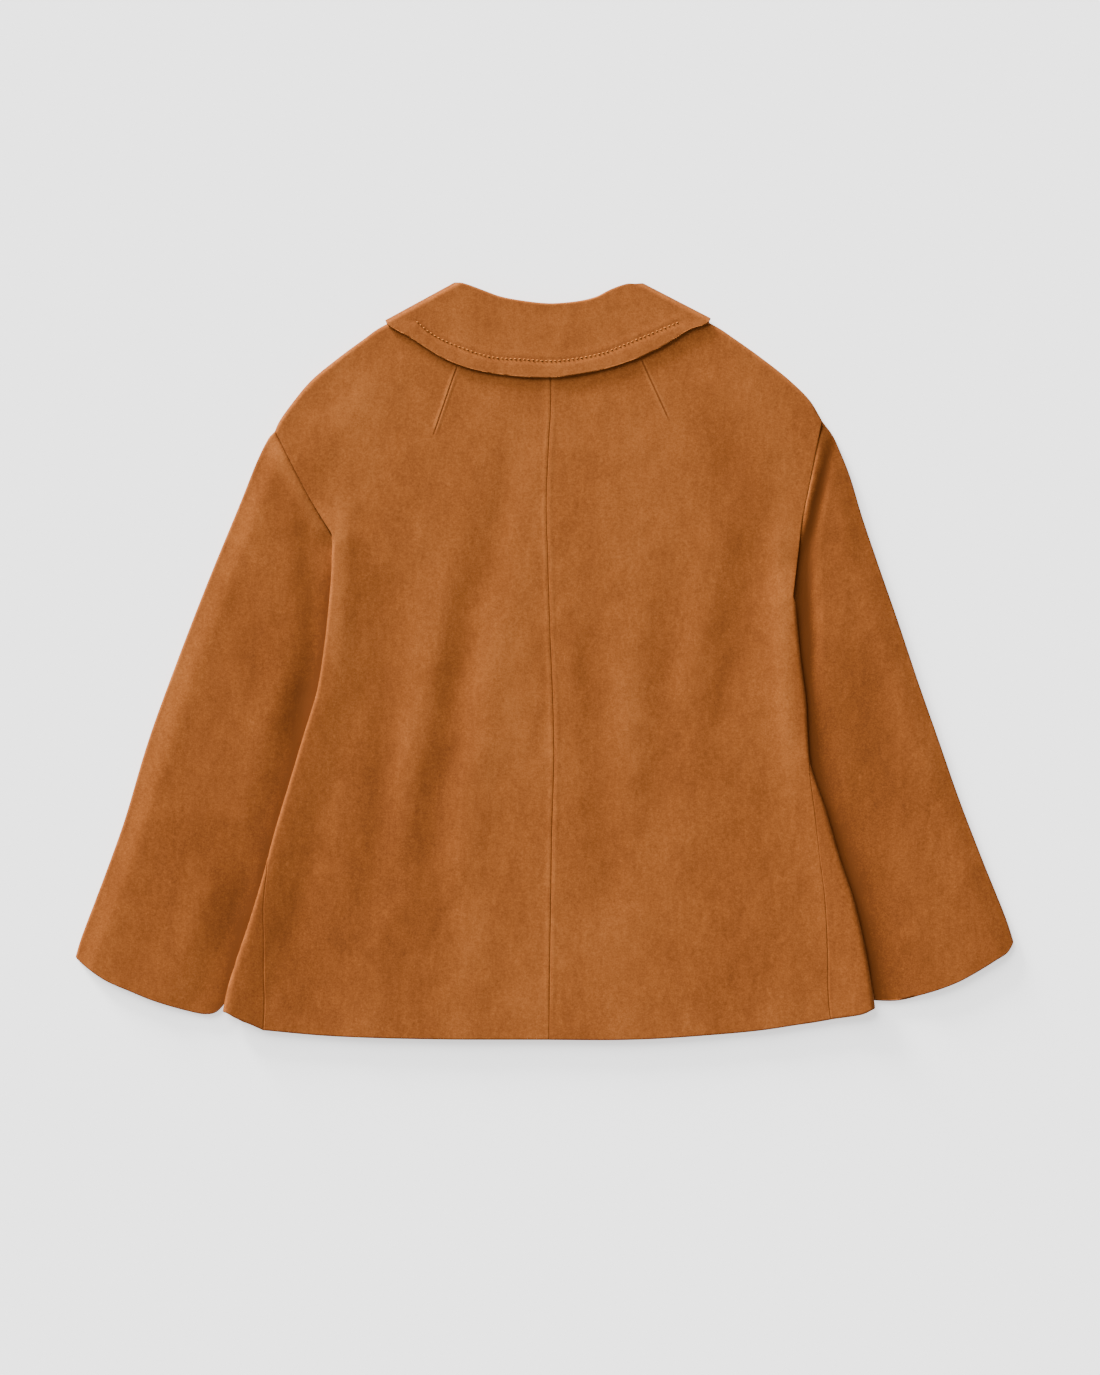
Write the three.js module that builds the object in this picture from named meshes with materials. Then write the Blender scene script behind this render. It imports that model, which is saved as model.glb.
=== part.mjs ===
// Suede jacket laid flat with its back up: millimetres, +Z up, +Y towards the collar, resting on z = 0.
// Every piece is a thin wall. Its outer face is a surface over two values from 0 to 1, its inner face
// lies one wall below along the surface's own normal, and rims close the cut edges.
import * as THREE from 'three';

// Driving dimensions
const WALL = 1.8;
const SEAM_GAP = 0.3;
const LAYER = WALL + SEAM_GAP;
const LAP_LIFT = LAYER + 0.3;
const BODY_HEIGHT = 7.4;
const SLEEVE_HEIGHT = 4.6;
const SIDE_LIFT = SLEEVE_HEIGHT + 0.4;
const SIDE_ROLL = 2.5;
const SIDE_SLOPE = 42;
const SLEEVE_PUFF = 2.2;
const FRONT_LAP = 16;
const NECK_X = 3;
const COLLAR_HALF_WIDTH = 143;
const COLLAR_DEPTH = 142;
const COLLAR_Y = 300;
const NECK_RISE = 1.3;
const COLLAR_ROLL = 5.4;
const ROLL_RADIUS = 2.1;
const STAND_TURN = 0.9;
const MIDDLE_SHIFT = 0.3;
const STEP = 1e-4;

// Stretches over which heights change. Over y a ramp begins above a height and has a length.
const FOLD_RAMP = { above: 6, length: 14 };
const LIFT_RAMP = { above: 34, length: 40 };
const UNDERARM_RAMP = { above: 1, length: 12 };
const REACH_RAMP = { inside: 15, width: 12 };
const LAP_RAMP = { fromX: -40, width: 22 };
const COLLAR_RAMP = { from: 1.2, width: 0.2 };
const CENTRE_RAMP = { from: 20, width: 20 };

// Places of the seams' own points
const SEAM_SPACING = 14;
const BACK_ROLL_LENGTH = 20;
const FRONT_JOINT_DROP = 12;
const FRONT_SEAM_START = 34;
const FRONT_SEAM_GAP = { side: 1.9, over: 0.6, fromWrap: -8 };
const STAND_SEAM_GAP = { back: 1.2, front: 2.1 };

// The neckline is a plain cut: beyond the neck point the panels' top edge isn't rolled
const NECK_PLAIN = { before: 0.02, width: 0.03, distance: 100 };

// The sleeve: gaps at the armhole, the bend of its seam on the way to the underarm, and its puff
const SLEEVE_GAP = { top: 0.35, bottom: 1 };
const SLEEVE_BEND = { across: 0.6, down: 0.5, share: 0.62 };
const SLEEVE_ENDS = { underarm: 20, cuff: 12 };
const PUFF = { rise: 0.15, fall: 0.26, fallTop: 0.3, fallBelow: 0.56, settle: 0.25 };

const SUEDE = { color: 0x9c5a28, roughness: 0.92, metalness: 0 };

// Left and right are the two sides as seen from above, each given outwards from the centre line.
// fold: the folded side edge of the body. tuck: how far the sleeve's inner edge lies under it.
const SIDES = {
  left: {
    sign: -1,
    foldStart: 111,
    underarm: { out: 171, y: 54 },
    shoulder: [
      { out: 85.8, y: 312.4 }, { out: 114, y: 306.2 }, { out: 143, y: 294.8 }, { out: 160.6, y: 282.5 },
      { out: 184.4, y: 264.9 }, { out: 205.5, y: 247.3 }, { out: 220.4, y: 229.7 }, { out: 233.6, y: 211.2 },
      { out: 237.2, y: 203.3 },
    ],
    armhole: [
      { out: 237.2, y: 203.3 }, { out: 224, y: 176.9 }, { out: 206.4, y: 143.4 }, { out: 186.4, y: 111 },
    ],
    frontArmhole: [
      { out: 237.2, y: 203.3 }, { out: 216, y: 177 }, { out: 193, y: 143 }, { out: 178, y: 111 },
      { out: 171.4, y: 80 }, { out: 170.4, y: 54 },
    ],
    fold: [
      { y: 210, out: 262, tuck: 17 }, { y: 177, out: 238, tuck: 17 }, { y: 143, out: 215, tuck: 17 },
      { y: 111, out: 189.2, tuck: 17 }, { y: 86, out: 187.4, tuck: 15 }, { y: 62, out: 188.8, tuck: 13 },
      { y: 18, out: 193.2, tuck: 11 }, { y: -26, out: 200.2, tuck: 12 }, { y: -61, out: 210.8, tuck: 14 },
      { y: -105, out: 224, tuck: 14 }, { y: -149, out: 237.2, tuck: 14 }, { y: -193, out: 249, tuck: 13 },
      { y: -232, out: 260.9, tuck: 11 }, { y: -263, out: 271.4, tuck: 8 }, { y: -290, out: 279.5, tuck: 4 },
      { y: -330, out: 288, tuck: 2 },
    ],
    // wrap: how far the back passes the side fold, negative where the front shows on top instead
    sideSeam: [
      { y: 111, wrap: 0 }, { y: 104, wrap: 3.4 }, { y: 94, wrap: 8 }, { y: 80, wrap: 13 },
      { y: 54, wrap: 16 }, { y: 20, wrap: 15 }, { y: -61, wrap: 13 }, { y: -149, wrap: 7 },
      { y: -184, wrap: 0 }, { y: -212, wrap: -5 }, { y: -263, wrap: -22 }, { y: -299, wrap: -33 },
      { y: -324.5, wrap: -37 },
    ],
    hem: [
      { out: 0, y: -332.7 }, { out: 96, y: -332.5 }, { out: 166, y: -330.9 }, { out: 201, y: -329.1 },
      { out: 249, y: -324.7 },
    ],
    frontHem: [
      { past: -280, y: -331 }, { past: -120, y: -330 }, { past: -60, y: -327 }, { past: -20, y: -318 },
      { past: 0, y: -308 }, { past: 14, y: -314 }, { past: 37, y: -324.5 },
    ],
    sleeveOuter: [
      { out: 238, y: 202.8 }, { out: 244.2, y: 194.5 }, { out: 253, y: 176.9 }, { out: 267.1, y: 141.7 },
      { out: 296.1, y: 71.3 }, { out: 323.4, y: 0.9 }, { out: 348.9, y: -69.5 }, { out: 370, y: -139.9 },
      { out: 382.4, y: -175.1 }, { out: 395.6, y: -210.3 }, { out: 408.8, y: -245.5 },
      { out: 413.2, y: -260.5 },
    ],
    cuff: [
      { out: 413.2, y: -260.5 }, { out: 404.4, y: -268.4 }, { out: 386.8, y: -280.7 }, { out: 364.8, y: -290.4 },
      { out: 345.4, y: -298.3 }, { out: 316.4, y: -307.1 }, { out: 298.8, y: -310.6 }, { out: 289.5, y: -309 },
      { out: 281.5, y: -301.5 },
    ],
    collarFold: { inner: { out: 81, y: 332.6 }, outer: { out: 140.4, y: 300.2 } },
  },
  right: {
    sign: 1,
    foldStart: 56,
    underarm: { out: 207, y: 0 },
    shoulder: [
      { out: 88.4, y: 312.4 }, { out: 123.6, y: 307.1 }, { out: 150.9, y: 294.8 }, { out: 169.4, y: 282.5 },
      { out: 194, y: 264.9 }, { out: 216, y: 247.3 }, { out: 233.6, y: 229.7 }, { out: 244.2, y: 212.1 },
    ],
    armhole: [
      { out: 244.2, y: 212.1 }, { out: 238, y: 181.3 }, { out: 231.9, y: 150.5 }, { out: 226.6, y: 124.1 },
      { out: 223.6, y: 97.7 }, { out: 218.6, y: 56 },
    ],
    frontArmhole: [
      { out: 244.2, y: 212.1 }, { out: 230, y: 180 }, { out: 216, y: 140 }, { out: 208, y: 100 },
      { out: 205, y: 50 }, { out: 206.4, y: 0 },
    ],
    fold: [
      { y: 216, out: 262, tuck: 17 }, { y: 181, out: 250, tuck: 17 }, { y: 150, out: 242, tuck: 17 },
      { y: 124, out: 235, tuck: 17 }, { y: 98, out: 229, tuck: 17 }, { y: 56, out: 221.4, tuck: 17 },
      { y: 36, out: 222.2, tuck: 15 }, { y: 1, out: 225.7, tuck: 13 }, { y: -34, out: 230.1, tuck: 11 },
      { y: -70, out: 231.9, tuck: 15 }, { y: -92, out: 234.5, tuck: 14 }, { y: -131, out: 247.7, tuck: 14 },
      { y: -173, out: 260, tuck: 13 }, { y: -210, out: 272.4, tuck: 12 }, { y: -259, out: 283.8, tuck: 11 },
      { y: -285, out: 288.2, tuck: 10 }, { y: -320, out: 293, tuck: 9 },
    ],
    sideSeam: [
      { y: 56, wrap: 0 }, { y: 49, wrap: 3.4 }, { y: 39, wrap: 8 }, { y: 25, wrap: 13 },
      { y: 0, wrap: 16 }, { y: -34, wrap: 12 }, { y: -70, wrap: 6 }, { y: -96, wrap: 0 },
      { y: -131, wrap: -8 }, { y: -166, wrap: -14 }, { y: -219, wrap: -25 }, { y: -290, wrap: -37 },
      { y: -315, wrap: -38 },
    ],
    hem: [
      { out: 0, y: -332.9 }, { out: 53, y: -333.4 }, { out: 92.8, y: -332.6 }, { out: 136.8, y: -330 },
      { out: 189.6, y: -325.6 }, { out: 254.8, y: -316 },
    ],
    frontHem: [
      { past: -280, y: -331 }, { past: -120, y: -326 }, { past: -60, y: -320 }, { past: -20, y: -312 },
      { past: 0, y: -306 }, { past: 12, y: -311 }, { past: 38, y: -315.7 },
    ],
    sleeveOuter: [
      { out: 245, y: 211.6 }, { out: 253.9, y: 198.9 }, { out: 260, y: 185.7 }, { out: 268.8, y: 163.7 },
      { out: 279.4, y: 128.5 }, { out: 295.2, y: 81.8 }, { out: 311.1, y: 36.1 }, { out: 328.7, y: -16.7 },
      { out: 347.2, y: -69.5 }, { out: 365.6, y: -122.3 }, { out: 385.9, y: -175.1 }, { out: 407, y: -227.9 },
      { out: 413.2, y: -247.3 },
    ],
    cuff: [
      { out: 413.2, y: -247.3 }, { out: 407.9, y: -256.1 }, { out: 397.3, y: -263.1 }, { out: 383.2, y: -271.9 },
      { out: 365.6, y: -281.6 }, { out: 348, y: -288.6 }, { out: 330.4, y: -293.9 }, { out: 312.8, y: -298.3 },
      { out: 299.6, y: -298.8 }, { out: 279.5, y: -297.5 },
    ],
    collarFold: { inner: { out: 88.4, y: 332 }, outer: { out: 146.5, y: 302 } },
  },
};

// Centre back seam, from the neck to the hem
const CENTRE_BACK = [
  { x: 3, y: 285.1 }, { x: 5.7, y: 229.7 }, { x: 4, y: 194.5 }, { x: 1.8, y: 141.7 }, { x: 3.1, y: 88.9 },
  { x: 5.3, y: 18.5 }, { x: 7.5, y: -34.3 }, { x: 8.4, y: -87.1 }, { x: 6.6, y: -148.7 }, { x: 5.7, y: -210.3 },
  { x: 4.8, y: -263.1 }, { x: 4, y: -332.9 },
];
const BACK_LENGTH = 618;
const FRONT_LENGTH = 563;
const BACK_NECK_DROP = 27.3;
const FRONT_NECK_DROP = 80.4;
const NECK_CURVE = 2.4;

// Soft troughs of the back: a line from one end to the other, with its depth and half width
const FOLDS = [
  { x0: -22, y0: 190, x1: -76, y1: -20, depth: 1.5, half: 20 },
  { x0: -76, y0: -20, x1: -98, y1: -160, depth: 1.9, half: 18 },
  { x0: -132, y0: 47, x1: -148, y1: -200, depth: 1.2, half: 16 },
  { x0: -222, y0: -200, x1: -200, y1: -283, depth: 1.3, half: 26 },
  { x0: 42, y0: 3, x1: 60, y1: -200, depth: 1.2, half: 18 },
  { x0: 115, y0: 47, x1: 98, y1: -115, depth: 1.2, half: 18 },
  { x0: 188, y0: 120, x1: 160, y1: -31, depth: 1.2, half: 20 },
  { x0: 160, y0: 177, x1: 158, y1: 150, depth: 1, half: 18 },
];

// Collar under the fronts, from the centre front to the fold beside the neck, outwards from the neck's
// middle: its rolled edge and its free edge
const COLLAR_FRONT = [
  { rollOut: 1.2, rollY: 245, edgeOut: 5, edgeY: 170 }, { rollOut: 14, rollY: 246, edgeOut: 34, edgeY: 161 },
  { rollOut: 34, rollY: 253, edgeOut: 76, edgeY: 173 }, { rollOut: 56, rollY: 270.5, edgeOut: 110, edgeY: 203 },
  { rollOut: 70, rollY: 291, edgeOut: 131, edgeY: 243 }, { rollOut: 78, rollY: 311, edgeOut: 140, edgeY: 272 },
];

// Stand of the collar from the centre back out to its side fold and on to the centre front
const STAND_BACK = [
  { seamOut: 0, rollOut: 0, rollY: 314.7 }, { seamOut: 30, rollOut: 28, rollY: 316.8 },
  { seamOut: 58, rollOut: 50, rollY: 323.4 }, { seamOut: 76, rollOut: 68, rollY: 329 },
  { seamOut: 82, rollOut: 74, rollY: 329 },
];
const STAND_FRONT = [
  { seamOut: 82, rollOut: 74, rollY: 329 }, { seamOut: 76, rollOut: 75, rollY: 311 },
  { seamOut: 54, rollOut: 56, rollY: 270.5 }, { seamOut: 28, rollOut: 30, rollY: 251 },
  { seamOut: 1.2, rollOut: 1.2, rollY: 245 },
];

// Rolled edge of the collar at the back of the neck, and its free edge on the back
const BACK_ROLL = [
  { x: -65.6, y: 330.9 }, { x: -51.5, y: 325.6 }, { x: -39.2, y: 321.2 }, { x: -21.6, y: 317.7 },
  { x: 3.1, y: 315 }, { x: 20.7, y: 315.9 }, { x: 35.6, y: 318.1 }, { x: 46.2, y: 321.2 }, { x: 58.5, y: 327.4 },
  { x: 72.8, y: 332.2 },
];
const BACK_FALL = [
  { x: -118.4, y: 284.2 }, { x: -92, y: 267.5 }, { x: -66, y: 257 }, { x: -34, y: 251 }, { x: 3.1, y: 249 },
  { x: 28, y: 251.6 }, { x: 57.6, y: 257.8 }, { x: 84, y: 267 }, { x: 106, y: 277.8 }, { x: 128, y: 291.3 },
];

const clamp01 = (value) => Math.min(1, Math.max(0, value));
const mix = (from, to, share) => from + (to - from) * share;

function smooth(value) {
  const share = clamp01(value);
  return share * share * (3 - 2 * share);
}

// Smooth value of one column of a table whose rows run along another
function lookup(rows, key, column, at) {
  const falling = rows[0][key] > rows[rows.length - 1][key];
  const ordered = falling ? [...rows].reverse() : rows;
  const last = ordered.length - 1;
  const clamped = Math.min(ordered[last][key], Math.max(ordered[0][key], at));
  let i = 0;
  while (i < last - 1 && ordered[i + 1][key] < clamped) i += 1;
  const a = ordered[i];
  const b = ordered[i + 1];
  const before = ordered[Math.max(0, i - 1)];
  const after = ordered[Math.min(last, i + 2)];
  const span = b[key] - a[key];
  const share = (clamped - a[key]) / span;
  const slopeA = (b[column] - before[column]) / (b[key] - before[key]);
  const slopeB = (after[column] - a[column]) / (after[key] - a[key]);
  const square = share * share;
  const cube = square * share;
  return (2 * cube - 3 * square + 1) * a[column] + (cube - 2 * square + share) * span * slopeA
    + (3 * square - 2 * cube) * b[column] + (cube - square) * span * slopeB;
}

// A smooth line through named points, as a function of the share of its length
function line(points, first = 'x', second = 'y') {
  const curve = new THREE.CatmullRomCurve3(
    points.map((point) => new THREE.Vector3(point[first], point[second], 0)), false, 'centripetal');
  return (share) => {
    const point = curve.getPointAt(clamp01(share));
    return [point.x, point.y];
  };
}

function joined(lineA, lineB, split) {
  return (share) => (share < split ? lineA(share / split) : lineB((share - split) / (1 - split)));
}

// A line whose ends are moved on to two given points
function fitted(edge, first, last) {
  const begin = edge(0);
  const end = edge(1);
  return (share) => edge(share).map((value, axis) => (
    value + mix(first[axis] - begin[axis], last[axis] - end[axis], share)));
}

// Blend of four edges: top and bottom run over u, between the corners of start and finish, over v
function patch(top, bottom, start, finish) {
  const corners = [start(0), finish(0), start(1), finish(1)];
  const upper = fitted(top, corners[0], corners[1]);
  const lower = fitted(bottom, corners[2], corners[3]);
  return (u, v) => [0, 1].map((axis) => mix(upper(u)[axis], lower(u)[axis], v)
    + mix(start(v)[axis], finish(v)[axis], u)
    - mix(mix(corners[0][axis], corners[1][axis], u), mix(corners[2][axis], corners[3][axis], u), v));
}

// How deep the soft troughs are at a point, with a low ridge on each side of them
function troughs(x, y) {
  return FOLDS.reduce((sum, fold) => {
    const along = new THREE.Vector2(fold.x1 - fold.x0, fold.y1 - fold.y0);
    const length = along.length();
    along.divideScalar(length);
    const from = new THREE.Vector2(x - fold.x0, y - fold.y0);
    const travelled = from.dot(along);
    const aside = Math.abs(from.cross(along)) / fold.half;
    const past = Math.max(0, -travelled, travelled - length) / (2 * fold.half);
    const section = (1 - aside * aside / 2) * Math.exp(-aside * aside / 2);
    return sum + fold.depth * Math.exp(-past * past) * section;
  }, 0);
}

// 1 where the collar lies under the fronts, 0 away from it
function overCollar(x, y) {
  const radius = Math.hypot((x - NECK_X) / COLLAR_HALF_WIDTH, (y - COLLAR_Y) / COLLAR_DEPTH);
  return 1 - smooth((radius - COLLAR_RAMP.from) / COLLAR_RAMP.width);
}

const foldOut = (side, y) => lookup(side.fold, 'y', 'out', y);
const innerOut = (side, y) => foldOut(side, y) - lookup(side.fold, 'y', 'tuck', y);

// 1 where the body's side lies on the sleeve
const overSleeve = (side, y) => smooth((side.foldStart + FOLD_RAMP.above - y) / FOLD_RAMP.length);

function backTop(side, x, y) {
  const out = side.sign * x;
  const near = smooth(1 - (foldOut(side, y) - SIDE_ROLL - out) / SIDE_SLOPE);
  const sideHeight = SIDE_LIFT + 2 * SIDE_ROLL;
  const height = BODY_HEIGHT + NECK_RISE * overCollar(x, y);
  const lifted = near * smooth((side.foldStart + LIFT_RAMP.above - y) / LIFT_RAMP.length);
  const body = mix(height, sideHeight, lifted);
  const beside = smooth((Math.abs(x) - CENTRE_RAMP.from) / CENTRE_RAMP.width);
  return body - troughs(x, y) * (1 - lifted) * (1 - overCollar(x, y)) * beside;
}

// Lowest face of the fronts: on the table, over the collar, and over the sleeve's inner edge
function frontBottom(side, x, y, lap) {
  const out = side.sign * x;
  const reach = smooth((out - innerOut(side, y) + REACH_RAMP.inside) / REACH_RAMP.width);
  const below = smooth((side.underarm.y + UNDERARM_RAMP.above - y) / UNDERARM_RAMP.length);
  const lapped = lap ? LAP_LIFT * smooth((x - LAP_RAMP.fromX) / LAP_RAMP.width) : 0;
  const lift = LAYER * overCollar(x, y) + lapped;
  return Math.max(lift, SIDE_LIFT * reach * below);
}

// A point of the body's flattened section. past is how far it lies round the side fold from the top.
function bodyPoint(side, past, y, lap = false) {
  const centre = foldOut(side, y) - SIDE_ROLL;
  const bottomHeight = SIDE_LIFT * overSleeve(side, y);
  const topHeight = backTop(side, side.sign * centre, y);
  const radius = (topHeight - bottomHeight) / 2;
  const turn = Math.PI * SIDE_ROLL;
  if (past <= 0) {
    const x = side.sign * (centre + past);
    return new THREE.Vector3(x, y, backTop(side, x, y));
  }
  if (past < turn) {
    const angle = past / SIDE_ROLL;
    const out = centre + SIDE_ROLL * Math.sin(angle);
    return new THREE.Vector3(side.sign * out, y, bottomHeight + radius * (1 + Math.cos(angle)));
  }
  const x = side.sign * (centre - (past - turn));
  return new THREE.Vector3(x, y, lap === null ? bottomHeight : frontBottom(side, x, y, lap));
}

// Quarter roll of a panel's height towards a folded edge, where it meets the other layer
function rolledHeight(height, middle, distance) {
  const radius = Math.abs(height - middle);
  const inside = clamp01(1 - distance / Math.max(radius, STEP));
  return middle + Math.sign(height - middle) * radius * Math.sqrt(Math.max(0, 1 - inside * inside));
}

// Closed wall between a surface and its copy one wall below
function wall({ surface, us, vs, flip, ring = false }) {
  const rows = vs.length;
  const columns = us.length;
  const outer = [];
  const inner = [];
  const derivative = (u, v, du, dv) => {
    const ahead = surface(ring ? u + du : Math.min(1, u + du), Math.min(1, v + dv));
    const behind = surface(ring ? u - du : Math.max(0, u - du), Math.max(0, v - dv));
    return ahead.sub(behind);
  };
  vs.forEach((v) => us.forEach((u) => {
    const point = surface(u, v);
    const normal = derivative(u, v, STEP, 0).cross(derivative(u, v, 0, STEP)).normalize();
    outer.push(point);
    inner.push(point.clone().addScaledVector(normal, flip ? WALL : -WALL));
  }));
  const positions = [...outer, ...inner].flatMap((point) => [point.x, point.y, point.z]);
  const count = rows * columns;
  const index = [];
  const quad = (a, b, c, d) => {
    const corners = flip ? [a, d, c, b] : [a, b, c, d];
    index.push(corners[0], corners[1], corners[2], corners[0], corners[2], corners[3]);
  };
  const at = (column, row) => row * columns + (column % columns);
  const lastColumn = ring ? columns : columns - 1;
  for (let row = 0; row < rows - 1; row += 1) {
    for (let column = 0; column < lastColumn; column += 1) {
      const corners = [at(column, row), at(column + 1, row), at(column + 1, row + 1), at(column, row + 1)];
      quad(...corners);
      quad(...corners.map((corner) => corner + count).reverse());
    }
  }
  for (let column = 0; column < lastColumn; column += 1) {
    const [a, b] = [at(column, 0), at(column + 1, 0)];
    const [c, d] = [at(column, rows - 1), at(column + 1, rows - 1)];
    quad(b, a, a + count, b + count);
    quad(c, d, d + count, c + count);
  }
  if (!ring) {
    for (let row = 0; row < rows - 1; row += 1) {
      const [a, b] = [at(0, row), at(0, row + 1)];
      const [c, d] = [at(columns - 1, row), at(columns - 1, row + 1)];
      quad(a, b, b + count, a + count);
      quad(d, c, c + count, d + count);
    }
  }
  const geometry = new THREE.BufferGeometry();
  geometry.setAttribute('position', new THREE.Float32BufferAttribute(positions, 3));
  geometry.setIndex(index);
  return geometry;
}

const even = (count) => Array.from({ length: count + 1 }, (_, i) => i / count);

// Shares from 0 to 1 in stretches, each with its own number of steps
function stretches(rows) {
  return rows.reduce((shares, row) => {
    const from = shares[shares.length - 1];
    return [...shares, ...even(row.steps).slice(1).map((share) => mix(from, row.to, share))];
  }, [0]);
}

// Columns of a half of the body, close together at its side, with one at the neck point, and the rows
// of the rolled shoulder
const SHOULDER_SHARE = 0.625;
const BODY_COLUMNS = stretches([
  { to: 0.24, steps: 14 }, { to: SHOULDER_SHARE, steps: 5 }, { to: 0.86, steps: 3 }, { to: 1, steps: 3 },
]);
const ROLLED_ROWS = [{ to: 0.0012, steps: 1 }, { to: 0.005, steps: 1 }];

// The side seam as close points from one height down to the hem, each moved by a rule
function seamLine(side, fromY, place) {
  const last = side.sideSeam[side.sideSeam.length - 1].y;
  const steps = Math.ceil((fromY - last) / SEAM_SPACING);
  return even(steps).map((share) => {
    const y = mix(fromY, last, share);
    return { out: place(foldOut(side, y) - SIDE_ROLL, lookup(side.sideSeam, 'y', 'wrap', y)), y };
  });
}

// Height of a neckline at a place across it, for the drop from the neck point to its middle
function neckY(side, x, drop) {
  const corner = side.shoulder[0];
  const half = Math.abs(side.sign * corner.out - NECK_X);
  return corner.y - drop * (1 - Math.min(1, Math.abs(x - NECK_X) / half) ** NECK_CURVE);
}

function neckEdge(side, drop, endOut) {
  const corner = side.shoulder[0];
  return (share) => {
    const out = mix(corner.out, endOut, share);
    return [out, neckY(side, side.sign * out, drop)];
  };
}

// Added distance from the rolled edge, so that the neckline stays a plain cut
const pastNeckPoint = (u) => (
  NECK_PLAIN.distance * smooth((u - SHOULDER_SHARE + NECK_PLAIN.before) / NECK_PLAIN.width));

function backPanel(side) {
  const gap = SEAM_GAP;
  const shoulder = line([...side.shoulder].reverse(), 'out', 'y');
  const top = joined(shoulder, neckEdge(side, BACK_NECK_DROP, side.sign * NECK_X), SHOULDER_SHARE);
  const armhole = line(side.armhole, 'out', 'y');
  const rollEnd = side.foldStart - BACK_ROLL_LENGTH;
  const rolled = side.sideSeam.filter((row) => row.y > rollEnd)
    .map((row) => ({ out: foldOut(side, row.y) - SIDE_ROLL + row.wrap, y: row.y }));
  const seam = seamLine(side, rollEnd, (centreOut, wrap) => centreOut + wrap);
  const atFold = (CENTRE_BACK[0].y - side.foldStart) / BACK_LENGTH;
  const sideEdge = joined(armhole, line([...rolled, ...seam], 'out', 'y'), atFold);
  const hem = line([...side.hem].reverse(), 'out', 'y');
  const centre = line(CENTRE_BACK.map((row) => ({ out: side.sign * row.x + gap, y: row.y })), 'out', 'y');
  const shape = patch(top, hem, sideEdge, centre);
  const surface = (u, v) => {
    const [out, y] = shape(u, v);
    const [edgeOut, edgeY] = shape(u, 0);
    const point = bodyPoint(side, out - (foldOut(side, y) - SIDE_ROLL), y, null);
    const distance = Math.hypot(out - edgeOut, y - edgeY) + pastNeckPoint(u);
    const middle = shoulderMiddle(side, point.x, y) + gap;
    point.z = rolledHeight(point.z, middle, distance);
    return point;
  };
  const vs = stretches([
    ...ROLLED_ROWS, { to: atFold, steps: 5 }, { to: atFold + 0.05, steps: 4 }, { to: 1, steps: 11 },
  ]);
  return { surface, us: BODY_COLUMNS, vs, flip: side.sign < 0 };
}

// Height at which the back and the front meet along the shoulder
function shoulderMiddle(side, x, y) {
  return (backTop(side, x, y) + frontBottom(side, x, y, false)) / 2;
}

function frontPanel(side) {
  const gap = SEAM_GAP / 2;
  const lap = side.sign < 0;
  const shoulder = line([...side.shoulder].reverse(), 'out', 'y');
  const endOut = side.sign * NECK_X - FRONT_LAP;
  const neck = neckEdge(side, FRONT_NECK_DROP, endOut);
  const top = joined(shoulder, neck, SHOULDER_SHARE);
  const armhole = line(side.frontArmhole, 'out', 'y');
  const turn = Math.PI * SIDE_ROLL;
  // Outwards on the underside, then round the fold and back over the top
  const seam = seamLine(side, side.underarm.y - FRONT_SEAM_START, (centreOut, wrap) => (
    centreOut + turn - wrap - (wrap > FRONT_SEAM_GAP.fromWrap ? FRONT_SEAM_GAP.side : FRONT_SEAM_GAP.over)));
  const corner = side.frontArmhole[side.frontArmhole.length - 1];
  const joint = { out: corner.out, y: side.underarm.y - FRONT_JOINT_DROP };
  const atUnderarm = (side.shoulder[0].y - FRONT_NECK_DROP - side.underarm.y) / FRONT_LENGTH;
  const sideEdge = joined(armhole, line([corner, joint, ...seam], 'out', 'y'), atUnderarm);
  const hemRows = side.frontHem.map((row) => (
    { out: foldOut(side, row.y) - SIDE_ROLL + row.past, y: row.y }));
  const hem = line([...hemRows].reverse(), 'out', 'y');
  const centreEnd = hemRows[0].y;
  const centre = (share) => [endOut, mix(neck(1)[1], centreEnd, share)];
  const shape = patch(top, hem, sideEdge, centre);
  const surface = (u, v) => {
    const [out, y] = shape(u, v);
    const [edgeOut, edgeY] = shape(u, 0);
    const point = bodyPoint(side, foldOut(side, y) - SIDE_ROLL + turn - out, y, lap);
    const distance = Math.hypot(out - edgeOut, y - edgeY) + pastNeckPoint(u);
    const middle = shoulderMiddle(side, point.x, y) - gap;
    point.z = rolledHeight(point.z, middle, distance);
    return point;
  };
  const vs = stretches([
    ...ROLLED_ROWS, { to: atUnderarm, steps: 6 }, { to: atUnderarm + 0.045, steps: 3 }, { to: 1, steps: 11 },
  ]);
  return { surface, us: BODY_COLUMNS, vs, flip: side.sign > 0 };
}

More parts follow.
